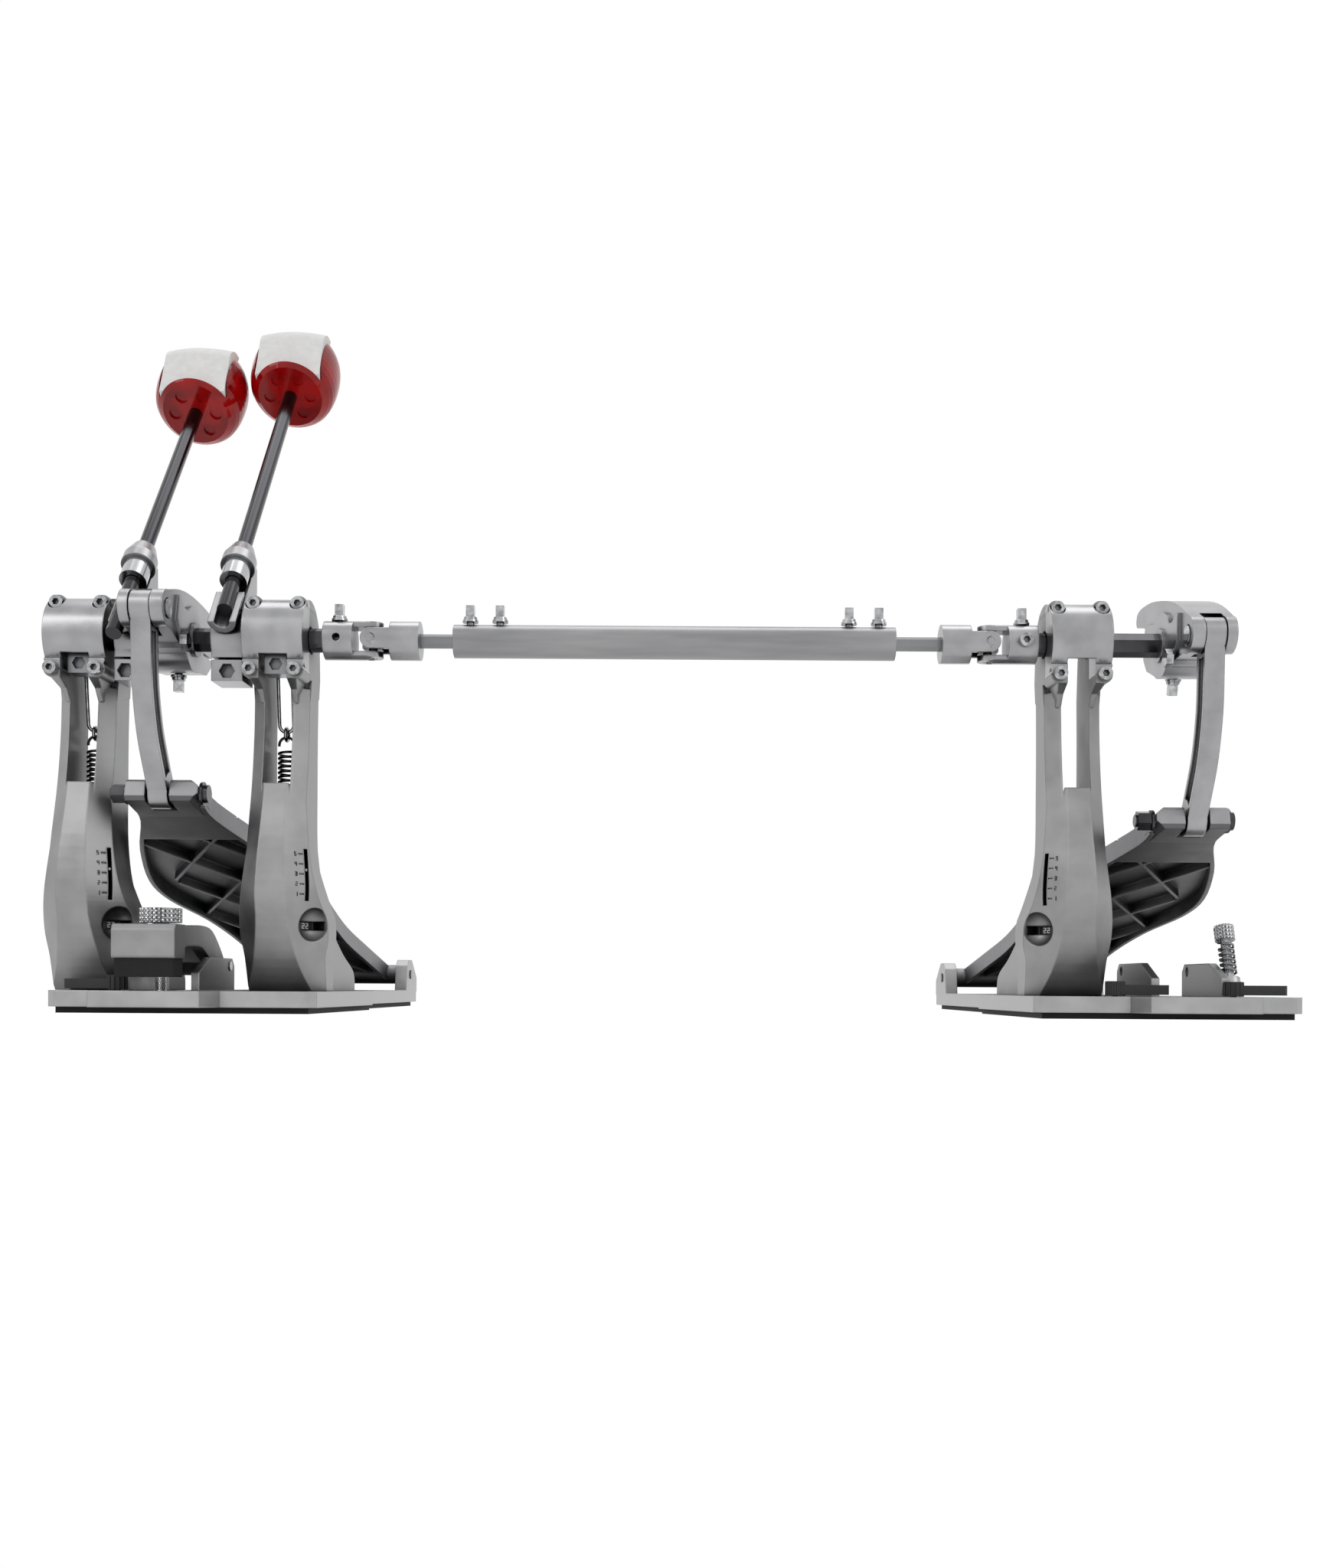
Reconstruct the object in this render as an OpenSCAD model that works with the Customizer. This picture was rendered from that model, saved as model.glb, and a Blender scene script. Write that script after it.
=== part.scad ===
// Double bass drum pedal: a master pedal and a slave pedal joined by a linkage of two universal joints.
// The drum stands on the -Y side and the player on the +Y side.
// The origin is on the floor, below the master drive shaft, in the centre plane of its link.

/* [Stance] */
// Height of the drive shafts above the floor
axis_z = 188; // [176:1:200]
// Distance between the centre planes of the two links
pedal_gap = 513; // [480:1:560]

/* [Base plates] */
// Thickness of the rubber mat
mat_t = 3; // [2:0.5:5]
// Thickness of the cast base plate
base_t = 8; // [6:0.5:12]
// Reach of the base plate to the outer side
base_outer = 49; // [46:1:60]
// Reach of the base plate to the linkage side
base_inner = 82; // [76:1:95]
// Reach of the front lip towards the drum
lip_front = 47; // [42:1:60]
// Reach of the base plate under the towers towards the drum
base_front = 32; // [28:1:38]
// Reach of the base plate towards the player
base_back = 330; // [320:1:360]
// Reach of the base plate's narrow heel to the outer side
heel_outer = 36; // [34:1:44]
// Reach of the base plate's narrow heel to the linkage side
heel_inner = 72; // [68:1:76]
// Reach of the base plate's wide part towards the player
wide_back = 122; // [110:1:140]

/* [Towers] */
// Width of a tower leg
tower_w = 28; // [26:0.5:32]
// Width of the spring channel and window in a tower
window_w = 14; // [13:0.5:15]
// Height of the lower edge of the window
window_z = 115; // [105:1:125]
// Outer tower's centre plane
outer_tower_x = -41.5; // [-46:0.5:-41]
// Linkage-side tower's centre plane
inner_tower_x = 56.5; // [56:0.5:60]
// Outer radius of the bearing housing
housing_r = 20; // [19:0.5:22]
// Width of the bearing housing
housing_w = 30; // [30:0.5:33]
// Length of the tower foot behind the shaft
foot_back = 118; // [100:1:130]

/* [Shafts and bearings] */
// Corner radius of the hexagonal shaft, equal to its journal radius
shaft_r = 6; // [5.5:0.1:6.5]
// Outer radius of a shaft bearing
bearing_r = 10.5; // [9.5:0.1:12]
// Width of a shaft bearing
bearing_w = 5; // [4:0.5:6]
// Running clearance on every journal and pin
run_gap = 0.05; // [0.03:0.01:0.08]

/* [Cam and link] */
// Distance of the cam pin in front of the shaft
cam_pin_front = 38; // [34:1:42]
// Height of the cam pin above the shaft
cam_pin_up = 7; // [4:1:10]
// Radius of the cam pin and the toe bolt
pin_r = 3; // [2.5:0.1:3.5]
// Width of the direct-drive link
link_w = 9.6; // [8:0.2:10]
// How far the slave's cam is set round its shaft, towards the strike
slave_turn = 15; // [0:1:16]
// Clearance around the toe bolt in the lower eye of the link
eye_gap = 1.6; // [1.5:0.1:1.9]

/* [Footboards] */
// Distance of the toe bolt in front of the shaft
toe_front = 10; // [6:1:14]
// Height of the toe bolt above the floor
toe_z = 109; // [102:1:116]
// Distance of the heel pin behind the shaft
heel_back = 300; // [290:1:310]
// Height of the heel pin above the floor
heel_z = 22; // [21:0.5:26]
// Thickness of the footboard's plate
board_t = 3; // [2:0.25:4]
// Depth of the footboard's rim below its top
rim_h = 10; // [8:0.5:12]

/* [Beaters] */
// Radius of the beater rods
rod_r = 3.8; // [3.4:0.1:4]
// Lean of the beater rods at rest
rod_lean = 40; // [36:1:44]
// Offset of the rods in front of the shaft axis
rod_offset = 20; // [19:0.5:22]
// Distance from the shaft to the primary beater's centre
primary_reach = 203; // [195:1:222]
// Distance from the shaft to the secondary beater's centre
secondary_reach = 222; // [195:1:222]
// Length of a beater rod below its head's centre
rod_len = 224; // [215:1:230]
// Radius of the beater heads
head_r = 25; // [23:0.5:27]
// Height of the beater heads
head_h = 48; // [44:1:54]
// Width of the felt striking block
felt_w = 38; // [32:1:40]

/* [Linkage] */
// Distance of the master cross pin from the master's centre plane
master_cross_x = 103; // [100:1:108]
// Distance of the slave cross pin from the slave's centre plane
slave_cross_gap = 100; // [98:1:106]
// Outer radius of the telescoping tube
tube_r = 8.3; // [8:0.1:9.5]
// Length of the telescoping tube
tube_len = 222; // [180:1:240]
// Corner radius of the hexagonal sliding bars
bar_r = 3.6; // [3.2:0.1:4]
// Radius of the yokes
yoke_r = 9.7; // [9.5:0.1:10.5]

/* [Springs] */
// Distance of the spring axis behind the shaft
spring_back = 13; // [12:0.5:14]
// Centreline radius of the return spring's coil
coil_r = 3.9; // [3.7:0.1:4.2]
// Radius of the return spring's wire
wire_r = 0.7; // [0.5:0.05:0.75]
// Turns of the return spring
coil_turns = 23; // [15:1:23]
// Turns of the spur's spring
spur_turns = 6; // [4:1:7]

/* [Hoop clamp, spur and levers] */
// Width of the clamp arm
arm_w = 30; // [28:0.5:31]
// Radius of the clamp's knurled knob
knob_r = 10; // [8:0.5:11]
// Lean of the floor spur
spur_lean = 20; // [12:1:26]
// Radius of the spur's threaded stem
spur_r = 2.5; // [2:0.1:2.8]
// Length of the black swing levers
lever_len = 25; // [20:1:27]

/* [Hidden] */
$fn = 48;

base_top = mat_t + base_t;
seat_gap = 0.3;
face_gap = 0.15;

// Heights and depths of the tower
tower_half = tower_w / 2;
window_half = window_w / 2;
housing_half = housing_w / 2;
channel_floor = 36;
channel_front = -9;
cap_split = -3;
saddle_low = axis_z - 24;
saddle_step = 3.7;
bearing_x = housing_half - bearing_w / 2 - 0.8;
rocker_cavity_r = housing_r - 1.5;

// Cap screws around the housing
screw_side = 11;
screw_r = 1.9;
screw_head_r = 3.3;
screw_head_h = 4;
key_square = 3;
key_flange_r = 4;
upper_screw_up = 16;
lower_screw_down = 18;
upper_boss_front = -9;
lower_boss_front = -17;
boss_r = 4.3;

// Tension wheel and its nut
wheel_z = 44;
wheel_t = 4.4;
wheel_r = 18;
scoop_r = 9;
scoop_out = 2.5;
tension_rod_r = 2.4;
tension_rod_top = 92;
nut_z = 67;
nut_h = 9;
nut_travel = 6;
nut_half = window_half - seat_gap;
slot_w = 2.2;
slot_side = 4;
slot_low = 56;
slot_high = 82;
tick_gap = 5;
tick_len = 2.6;
index_r = 0.7;
coil_rings = 8;

// Rocker, shackle and spring
rocker_reach = 15;
rocker_rest = -58;
rocker_pin_r = 1.5;
rocker_w = 11;
rocker_pin_y = rocker_reach * cos(rocker_rest);
rocker_pin_z = axis_z + rocker_reach * sin(rocker_rest);
shackle_r = 0.9;
shackle_half = 3.6;
shackle_len = 32;
shackle_tilt = atan((spring_back - rocker_pin_y) / shackle_len);
ring_r = 3.2;
ring_drop = ring_r - 2 * shackle_r - 0.2;
ring_z = rocker_pin_z - shackle_len * cos(shackle_tilt) - ring_drop;
loop_top_z = ring_z - ring_r + shackle_r + wire_r + 0.2;
loop_z = loop_top_z - coil_r;
coil_top = loop_z - 3.5;
coil_bottom = nut_z + nut_h + 2 * wire_r + face_gap;
coil_pitch = (coil_top - coil_bottom - 2.4) / coil_turns;

// Cam and link in the side view
cam_pin = [-cam_pin_front, axis_z + cam_pin_up];
toe_pin = [-toe_front, toe_z];
cheek_gap = 0.5;
cheek_out_l = 10;
cheek_out_r = 11.4;
clamp_r = 16.5;
pin_head_r = 4.6;
pin_head_in = 2.4;
link_half = link_w / 2;
link_end_r = 7.6;

// The slave's cam pin, and its toe bolt, which closes the triangle of link and footboard
heel_pin = [heel_back, heel_z];
slave_pin = [0, axis_z] + turned(cam_pin - [0, axis_z], slave_turn);
link_len = norm(cam_pin - toe_pin);
pin_to_heel = norm(heel_pin - slave_pin);
heel_dir = (heel_pin - slave_pin) / pin_to_heel;
toe_along = (pow(link_len, 2) - pow(norm(heel_pin - toe_pin), 2) + pow(pin_to_heel, 2)) / (2 * pin_to_heel);
toe_across = sqrt(pow(link_len, 2) - pow(toe_along, 2));
slave_toe = slave_pin + toe_along * heel_dir + toe_across * [heel_dir[1], -heel_dir[0]];
slave_board_turn = heading(slave_toe - heel_pin) - heading(toe_pin - heel_pin);
slave_link_turn = heading(slave_toe - slave_pin) - heading(toe_pin - cam_pin);

// Footboard
board_tilt = atan((toe_z - heel_z) / (heel_back + toe_front));
board_len = norm([heel_back + toe_front, toe_z - heel_z]);
toe_boss_l = 16;
toe_boss_r = 20;
toe_front_y = -7.6;
chin_len = 50;
toe_slot_gap = 1.3;
barrel_r = 6.5;
heel_cheek_l = -heel_outer;
heel_cheek_r = heel_inner;
heel_cheek_t = 8;
heel_pin_r = 3;
board_top = 5;

// Hub and beater
hub_r = 15;
primary_hub_x = [-23, -12.4];
secondary_hub_x = [25, 40.6];
primary_rod_x = -18;
secondary_rod_x = 32.6;
holder_r = 8.6;
holder_low = 33;
holder_high = 48;
collar_low = 21;
collar_high = holder_low - face_gap;
collar_r = 7.4;
rod_travel = 8;
trough_low = -11;
trough_high = collar_low - rod_travel - face_gap;
trough_r = 7;
felt_back = 9;
felt_ledge = 2.5;
felt_crown = 62;
head_low = -24;
pilot_r = 3;
pilot_len = 8;
primary_end_x = secondary_hub_x[0] - 0.6;

// Linkage
slave_cross_x = pedal_gap - slave_cross_gap;
tube_mid = (master_cross_x + slave_cross_x) / 2 - 3;
tube_x0 = tube_mid - tube_len / 2;
tube_x1 = tube_mid + tube_len / 2;
yoke_len = 24;
fork_reach = 5.2;
bar_in = 60;
tube_screw_in = [8, 23];
secondary_end_x = master_cross_x - 14;

// Hoop clamp
clamp_pin_y = 40;
clamp_pin_z = 24;
clamp_pin_r = 2.5;
arm_mid = 1;
ear_t = 4;
ear_gap = 0.4;
jaw_mid = 5;
jaw_w = 30;
jaw_front = -52;
jaw_back = -36;
jaw_top = 41.5;
jaw_low = 26.5;
pad_low = 17.6;
knob_x = 4.5;
knob_y = -24;
knob_z = 43.4;
knob_h = 7;
knob_stem_r = 3;

// Floor spur and levers
spur_x = -24;
spur_y = 2;
spur_seat = 20;
spur_below = 14.4;
spur_boss_r = 5;
spur_coil_len = 21;
spur_head_r = 5;
spur_head_h = 7.5;
spur_wire_r = 0.6;
spur_coil_r = spur_r + spur_wire_r + 0.7;
lever_hub_r = 4.4;
lever_t = 6;
lever_y = -23.5;
outer_lever_x = -17;
inner_lever_x = 41;

function mix(a, b, t) = a + (b - a) * t;
function turned(v, a) = [v[0] * cos(a) - v[1] * sin(a), v[0] * sin(a) + v[1] * cos(a)];
function heading(v) = atan2(v[1], v[0]) < 0 ? atan2(v[1], v[0]) + 360 : atan2(v[1], v[0]);

// Catmull-Rom curve through the points p, with n steps between two neighbours
function knot(p, i) = p[max(0, min(len(p) - 1, i))];
function curve_at(a, b, c, d, t) =
  0.5 * (2 * b + (c - a) * t + (2 * a - 5 * b + 4 * c - d) * t * t + (3 * b - a - 3 * c + d) * t * t * t);
function smooth(p, n = 5) = [
  for (i = [0:len(p) - 2], k = [0:n - 1])
    curve_at(knot(p, i - 1), p[i], p[i + 1], knot(p, i + 2), k / n),
  p[len(p) - 1]];

// A side profile in (y, z) carried from x0 to x1
module along_x(x0, x1) {
  translate([x0, 0, 0]) rotate([90, 0, 90]) linear_extrude(x1 - x0) children();
}
// A front profile in (x, z) carried from y0 to y1
module along_y(y0, y1) {
  translate([0, y1, 0]) rotate([90, 0, 0]) linear_extrude(y1 - y0) children();
}
module rod_x(r, x0, x1, y = 0, z = 0, n = 48) {
  translate([x0, y, z]) rotate([0, 90, 0]) cylinder(r = r, h = x1 - x0, $fn = n);
}
module rod_y(r, y0, y1, x = 0, z = 0, n = 48) {
  translate([x, y1, z]) rotate([90, 0, 0]) cylinder(r = r, h = y1 - y0, $fn = n);
}
module rod_z(r, z0, z1, x = 0, y = 0, n = 48) {
  translate([x, y, z0]) cylinder(r = r, h = z1 - z0, $fn = n);
}
// A box between two corners
module block(a, b) {
  translate(a) cube(b - a);
}
// The slave pedal mirrors the master pedal
module on_slave() {
  translate([pedal_gap, 0, 0]) mirror([1, 0, 0]) children();
}

// Turned about a point of the side view
module turn_about(p, a) {
  translate([0, p[0], p[1]]) rotate([a, 0, 0]) translate([0, -p[0], -p[1]]) children();
}

// A closed tube of wire along items [point, radial direction]
function unit(v) = v / norm(v);
function tube_tangent(p, i) = unit(p[min(len(p) - 1, i + 1)][0] - p[max(0, i - 1)][0]);
function tube_side(p, i) =
  let (t = tube_tangent(p, i), q = p[i][1])
  unit(q - (q * t) * t);
function tube_ring(p, i, r, sides) =
  let (t = tube_tangent(p, i), n = tube_side(p, i), b = cross(t, n))
  [for (k = [0:sides - 1]) p[i][0] + r * (cos(360 * k / sides) * n + sin(360 * k / sides) * b)];
module wire(p, r, sides = 6) {
  rings = len(p);
  points = [for (i = [0:rings - 1]) each tube_ring(p, i, r, sides)];
  walls = [for (i = [0:rings - 2], k = [0:sides - 1])
    let (a = i * sides + k, b = i * sides + (k + 1) % sides)
    each [[a, b, b + sides], [a, b + sides, a + sides]]];
  polyhedron(points = points, faces = concat(flip(walls), first_faces(sides), last_faces(rings, sides)));
}
function flip(f) = [for (t = f) [t[0], t[2], t[1]]];
function first_faces(sides) = [for (k = [1:sides - 2]) [0, k, k + 1]];
function last_faces(rings, sides) =
  [for (k = [1:sides - 2]) [(rings - 1) * sides, (rings - 1) * sides + k + 1, (rings - 1) * sides + k]];

// Points of a coil of radius r from z0 to z1, with straight ends along the axis
function on_coil(r, a, z) = [[r * cos(a), r * sin(a), z], [cos(a), sin(a), 0]];
function coil(r, z0, z1, turns, w) = concat(
  [on_coil(r, 0, z0 - 2 * w), on_coil(r, 0, z0), on_coil(r, 8, z0 + 0.6 * w), on_coil(r, 24, z0 + 1.2 * w)],
  [for (i = [1:turns * coil_rings - 1])
    on_coil(r, 360 * i / coil_rings, mix(z0 + 1.3 * w, z1 - 1.3 * w, i / (turns * coil_rings)))],
  [on_coil(r, -24, z1 - 1.2 * w), on_coil(r, -8, z1 - 0.6 * w), on_coil(r, 0, z1)]);
// The coil's wire carried up and over into a half loop
function loop_points(r, z, w) = concat(
  [for (a = [0:15:180]) [[r * cos(a), 0, z + r * sin(a)], [cos(a), 0, sin(a)]]],
  [[[-r, 0, z - 2 * w], [-1, 0, 0]]]);
spring_path = concat(coil(coil_r, coil_bottom, coil_top, coil_turns, wire_r),
  loop_points(coil_r, loop_z, wire_r));
// The least gap of a wire to itself, measured between points at least half a turn apart
function self_gap(p, w) = min([for (i = [0:len(p) - 6], j = [i + 5:len(p) - 1])
  norm(p[i][0] - p[j][0])]) - 2 * w;
echo(return_spring_self_gap = self_gap(spring_path, wire_r));

// Fasteners
module cap_screw(len) {
  difference() {
    union() {
      cylinder(r = screw_head_r, h = screw_head_h, $fn = 32);
      translate([0, 0, -len]) cylinder(r = screw_r, h = len + 0.1, $fn = 24);
    }
    translate([0, 0, screw_head_h - 2.2]) cylinder(r = 1.8, h = 3, $fn = 6);
  }
}
// A square-headed drum-key screw, pointing up, whose flange rests at z = 0
module key_screw(len) {
  translate([0, 0, -len]) cylinder(r = 2, h = len + 0.1, $fn = 24);
  cylinder(r = key_flange_r, h = 1.2, $fn = 32);
  translate([0, 0, 1]) cylinder(r = key_square + 0.4, h = 1.6, $fn = 24);
  translate([0, 0, 1]) rotate([0, 0, 45]) cylinder(r = key_square, h = 7.4, $fn = 4);
}

// Base plate
module base_outline() {
  polygon([[-base_outer, 4 - base_front], [4 - base_outer, -base_front], [-27, -base_front],
    [-23, -lip_front], [30, -lip_front], [36, -base_front], [base_inner - 4, -base_front],
    [base_inner, 4 - base_front], [base_inner + 2, wide_back - 20], [base_inner - 2, wide_back],
    [heel_inner, wide_back + 22], [heel_inner, base_back - 6], [heel_inner - 6, base_back],
    [6 - heel_outer, base_back], [-heel_outer, base_back - 6], [-heel_outer, wide_back + 22],
    [-base_outer, wide_back]]);
}
module ear_side() {
  polygon([[-14, base_top - 1], [-14, base_top + 9], [6, clamp_pin_z + 4], [44, clamp_pin_z + 4],
    [48, clamp_pin_z], [48, base_top - 1]]);
}
module heel_cheek_side() {
  polygon([[heel_back - 16, base_top - 1], [heel_back - 12, heel_z + 6], [heel_back - 6, heel_z + 10],
    [heel_back + 6, heel_z + 10], [base_back - 4, heel_z - 2], [base_back - 4, base_top - 1]]);
}
module base_plate(spur_boss) {
  difference() {
    union() {
      translate([0, 0, mat_t]) linear_extrude(base_t) base_outline();
      for (x = [arm_mid - arm_w / 2 - ear_gap - ear_t, arm_mid + arm_w / 2 + ear_gap])
        along_x(x, x + ear_t) ear_side();
      for (x = [heel_cheek_l, heel_cheek_r - heel_cheek_t])
        along_x(x, x + heel_cheek_t) heel_cheek_side();
      if (spur_boss) spur_axis() translate([0, 0, -spur_below]) cylinder(r = spur_boss_r, h = spur_below);
    }
    rod_x(clamp_pin_r, -40, 40, clamp_pin_y, clamp_pin_z);
    rod_x(heel_pin_r + run_gap, heel_cheek_l - 1, heel_cheek_r + 1, heel_back, heel_z);
    pocket_floor = base_top - 2.5;
    for (x = [[-14, 14], [20, 48]])
      block([x[0], 62, pocket_floor], [x[1], 270, base_top + 1]);
    if (spur_boss) {
      spur_axis() translate([0, 0, -60]) cylinder(r = spur_r + run_gap, h = 80);
      block([-80, -80, -20], [80, 80, mat_t]);
    }
    if (!spur_boss) rod_z(knob_stem_r + run_gap, 0, 30, knob_x, knob_y);
    for (x = spur_boss ? [outer_lever_x, inner_lever_x] : [outer_lever_x])
      rod_z(1.6, 5, 30, x, lever_y);
  }
}
module mat_outline() {
  polygon([[4 - base_outer, -base_front + 3], [-24, -base_front + 3], [28, -base_front + 3],
    [base_inner - 4, -base_front + 3], [base_inner - 3, wide_back - 4], [heel_inner - 4, wide_back + 22],
    [heel_inner - 4, base_back - 5], [4 - heel_outer, base_back - 5], [4 - heel_outer, wide_back + 22],
    [4 - base_outer, wide_back - 4]]);
}
module mat(spur_hole) {
  color("#1b1b1c") difference() {
    linear_extrude(mat_t) mat_outline();
    if (spur_hole) spur_axis() translate([0, 0, -60]) cylinder(r = spur_r + 0.6, h = 80);
  }
}

// Towers, drawn about their own centre plane
tower_front = smooth([[0, base_top], [-9, 27], [-19, 55], [-18, 82], [-10, window_z], [-5, 140], [-3, 158],
  [-3, saddle_low]]);
tower_rear = smooth([[22, saddle_low], [21, 140], [21, window_z], [22, 86], [31, 64], [52, 47], [84, 32],
  [foot_back - 4, 22], [foot_back, base_top]]);
// Where the slanted side faces meet the front: half width plus the depth of the front, by height
bevel_line = smooth([[16, base_top - 2], [20, 28], [24, wheel_z], [27, 58], [26.5, 70], [23.5, 86],
  [15.5, window_z], [11.5, 140], [10.5, 160], [10.5, saddle_low + 1]]);
// Half width of the flare beside the wheel, by height, on the linkage side and on the other side
flare_near = smooth([[22.6, base_top], [22.6, 28], [24.2, 36], [24.2, 46], [21.5, 56], [18.6, 69], [16.6, 82],
  [15.2, 95], [tower_half - 0.5, 112]], 3);
flare_far = smooth([[15, base_top], [16.5, 28], [18.6, 39], [18.6, 49], [17, 60], [15, 74],
  [tower_half - 0.5, 86]], 3);
flare_back = [[44, base_top - 2], [44, wheel_z + 6], [28, 72], [28, 120]];
module bevel_cut() {
  rotate([0, 0, -45]) along_y(-90, 90)
    polygon(concat([for (p = bevel_line) [p[0] / sqrt(2), p[1]]],
      [[80, saddle_low + 1], [80, base_top - 2]]));
}
module flare(widths) {
  top = widths[len(widths) - 1][1];
  difference() {
    intersection() {
      along_x(0, 30) polygon(concat(tower_front, tower_rear));
      along_y(-40, 60) polygon(concat([[0, base_top]], widths, [[0, top]]));
    }
    rotate([0, 0, 45]) along_y(-90, 90)
      polygon(concat([for (p = flare_back) [p[0] / sqrt(2), p[1]]], [[80, 120], [80, base_top - 2]]));
  }
}
module tower_leg() {
  difference() {
    union() {
      along_x(-tower_half, tower_half) polygon(concat(tower_front, tower_rear));
      flare(flare_near);
      mirror([1, 0, 0]) flare(flare_far);
    }
    bevel_cut();
    mirror([1, 0, 0]) bevel_cut();
  }
}
module upper_bosses(y0, y1) {
  for (s = [-1, 1]) rod_y(boss_r, y0, y1, s * screw_side, axis_z + upper_screw_up, 32);
}
module screw_holes() {
  for (s = [-1, 1]) {
    rod_y(screw_head_r + 0.5, -40, upper_boss_front, s * screw_side, axis_z + upper_screw_up, 32);
    rod_y(screw_head_r + 0.5, -40, lower_boss_front, s * screw_side, axis_z - lower_screw_down, 32);
    rod_y(screw_r, -40, 12, s * screw_side, axis_z + upper_screw_up, 24);
    rod_y(screw_r, -40, 12, s * screw_side, axis_z - lower_screw_down, 24);
  }
}
// The saddle under the housing, whose front narrows towards its foot, with a boss round each lower screw
module saddle_front() {
  polygon([[-housing_half, axis_z], [-housing_half, axis_z - 14], [-9.5, saddle_low - 4],
    [-9.5, saddle_low - 10], [9.5, saddle_low - 10], [9.5, saddle_low - 4], [housing_half, axis_z - 14],
    [housing_half, axis_z]]);
}
module saddle() {
  intersection() {
    along_x(-housing_half, housing_half) saddle_side();
    union() {
      along_y(-40, saddle_step + 0.4) saddle_front();
      along_y(saddle_step, 40) polygon([[-housing_half, axis_z], [-housing_half, axis_z - 16],
        [0.2 - tower_half, saddle_low - 10], [tower_half - 0.2, saddle_low - 10], [housing_half, axis_z - 16],
        [housing_half, axis_z]]);
    }
  }
  for (s = [-1, 1]) rod_y(boss_r, lower_boss_front, 0, s * screw_side, axis_z - lower_screw_down, 32);
}
module saddle_side() {
  polygon([[lower_boss_front, saddle_low + 2], [lower_boss_front, axis_z - 13], [0, axis_z],
    [20, axis_z - 4], [22, saddle_low - 2], [-3, saddle_low - 8], [-8, saddle_low - 2]]);
}
module housing_shape() {
  rod_x(housing_r, -housing_half, housing_half, 0, axis_z, 64);
  saddle();
  upper_bosses(upper_boss_front, 10);
}
module housing_bores() {
  rod_x(shaft_r + 1, -40, 40, 0, axis_z);
  for (s = [-1, 1]) rod_x(bearing_r, s * bearing_x - bearing_w / 2, s * bearing_x + bearing_w / 2, 0, axis_z);
  rod_x(rocker_cavity_r, -window_half, window_half, 0, axis_z);
  block([-window_half, -60, window_z], [window_half, 60, axis_z - 10]);
  block([-window_half, 0, axis_z - 30], [window_half, 60, axis_z + 9]);
  screw_holes();
}
module channel() {
  block([-window_half, channel_front, channel_floor], [window_half, 160, window_z + 1]);
}
// The scoop over the wheel lies on the slanted side face, whose normal is the local X
module on_flare() {
  rotate([0, 0, -45]) children();
}
module wheel_pocket() {
  half = wheel_t / 2 + face_gap;
  axis_side = spring_back / sqrt(2);
  rod_z(wheel_r + seat_gap, wheel_z - half - 0.25, wheel_z + half + 0.25, 0, spring_back, 64);
  block([-30, spring_back - 7.2, wheel_z - half], [0, spring_back + 7.2, wheel_z + half]);
  on_flare() {
    translate([24 / sqrt(2) + scoop_out, axis_side, wheel_z]) sphere(r = scoop_r);
    block([1, axis_side - scoop_r + 1.4, wheel_z - half + 0.1], [30, axis_side + scoop_r - 1.4, wheel_z + half - 0.1]);
    block([0, slot_side - slot_w / 2, slot_low], [30, slot_side + slot_w / 2, slot_high]);
  }
}
function face_at(z) = lookup(z, [for (p = bevel_line) [p[1], p[0] / sqrt(2)]]);
module scale_marks() {
  on_flare() for (z = [slot_low + 3:tick_gap:slot_high - 2])
    block([face_at(z) - 0.6, slot_side - slot_w / 2 - 0.6 - tick_len, z], [30, slot_side - slot_w / 2 - 0.6, z + 0.7]);
}
module tower() {
  color("#a9a9aa") difference() {
    union() {
      tower_leg();
      difference() {
        housing_shape();
        block([-40, -60, saddle_low + 6], [40, cap_split + face_gap, axis_z + 60]);
      }
      for (s = [-1, 1]) intersection() {
        rod_x(housing_r, s > 0 ? housing_half - 5 : -housing_half, s > 0 ? housing_half : 5 - housing_half,
          0, axis_z, 64);
        block([-40, cap_split + face_gap, saddle_low], [40, 60, axis_z + 60]);
      }
    }
    housing_bores();
    channel();
    wheel_pocket();
    scale_marks();
    rod_z(tension_rod_r + 0.3, 24, 60, 0, spring_back);
  }
}
module bearing_cap() {
  color("#b3b3b4") difference() {
    intersection() {
      housing_shape();
      block([-40, -60, saddle_low + 6 + face_gap], [40, cap_split, axis_z + 60]);
    }
    housing_bores();
  }
}
module tower_screws() {
  color("#c9c9cc") for (s = [-1, 1]) {
    translate([s * screw_side, upper_boss_front, axis_z + upper_screw_up]) rotate([90, 0, 0]) cap_screw(14);
    translate([s * screw_side, lower_boss_front, axis_z - lower_screw_down]) rotate([90, 0, 0]) cap_screw(14);
  }
}
module bearing(side) {
  x = side * bearing_x;
  color("#8d8f92") difference() {
    rod_x(bearing_r, x - bearing_w / 2, x + bearing_w / 2, 0, axis_z);
    rod_x(shaft_r + run_gap, x - bearing_w, x + bearing_w, 0, axis_z);
    for (s = [-1, 1]) translate([x + s * (bearing_w / 2), 0, axis_z]) rotate([0, 90, 0])
      difference() {
        cylinder(r = bearing_r - 1.1, h = 0.8, center = true);
        cylinder(r = shaft_r + 1.2, h = 1, center = true);
      }
  }
}

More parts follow.
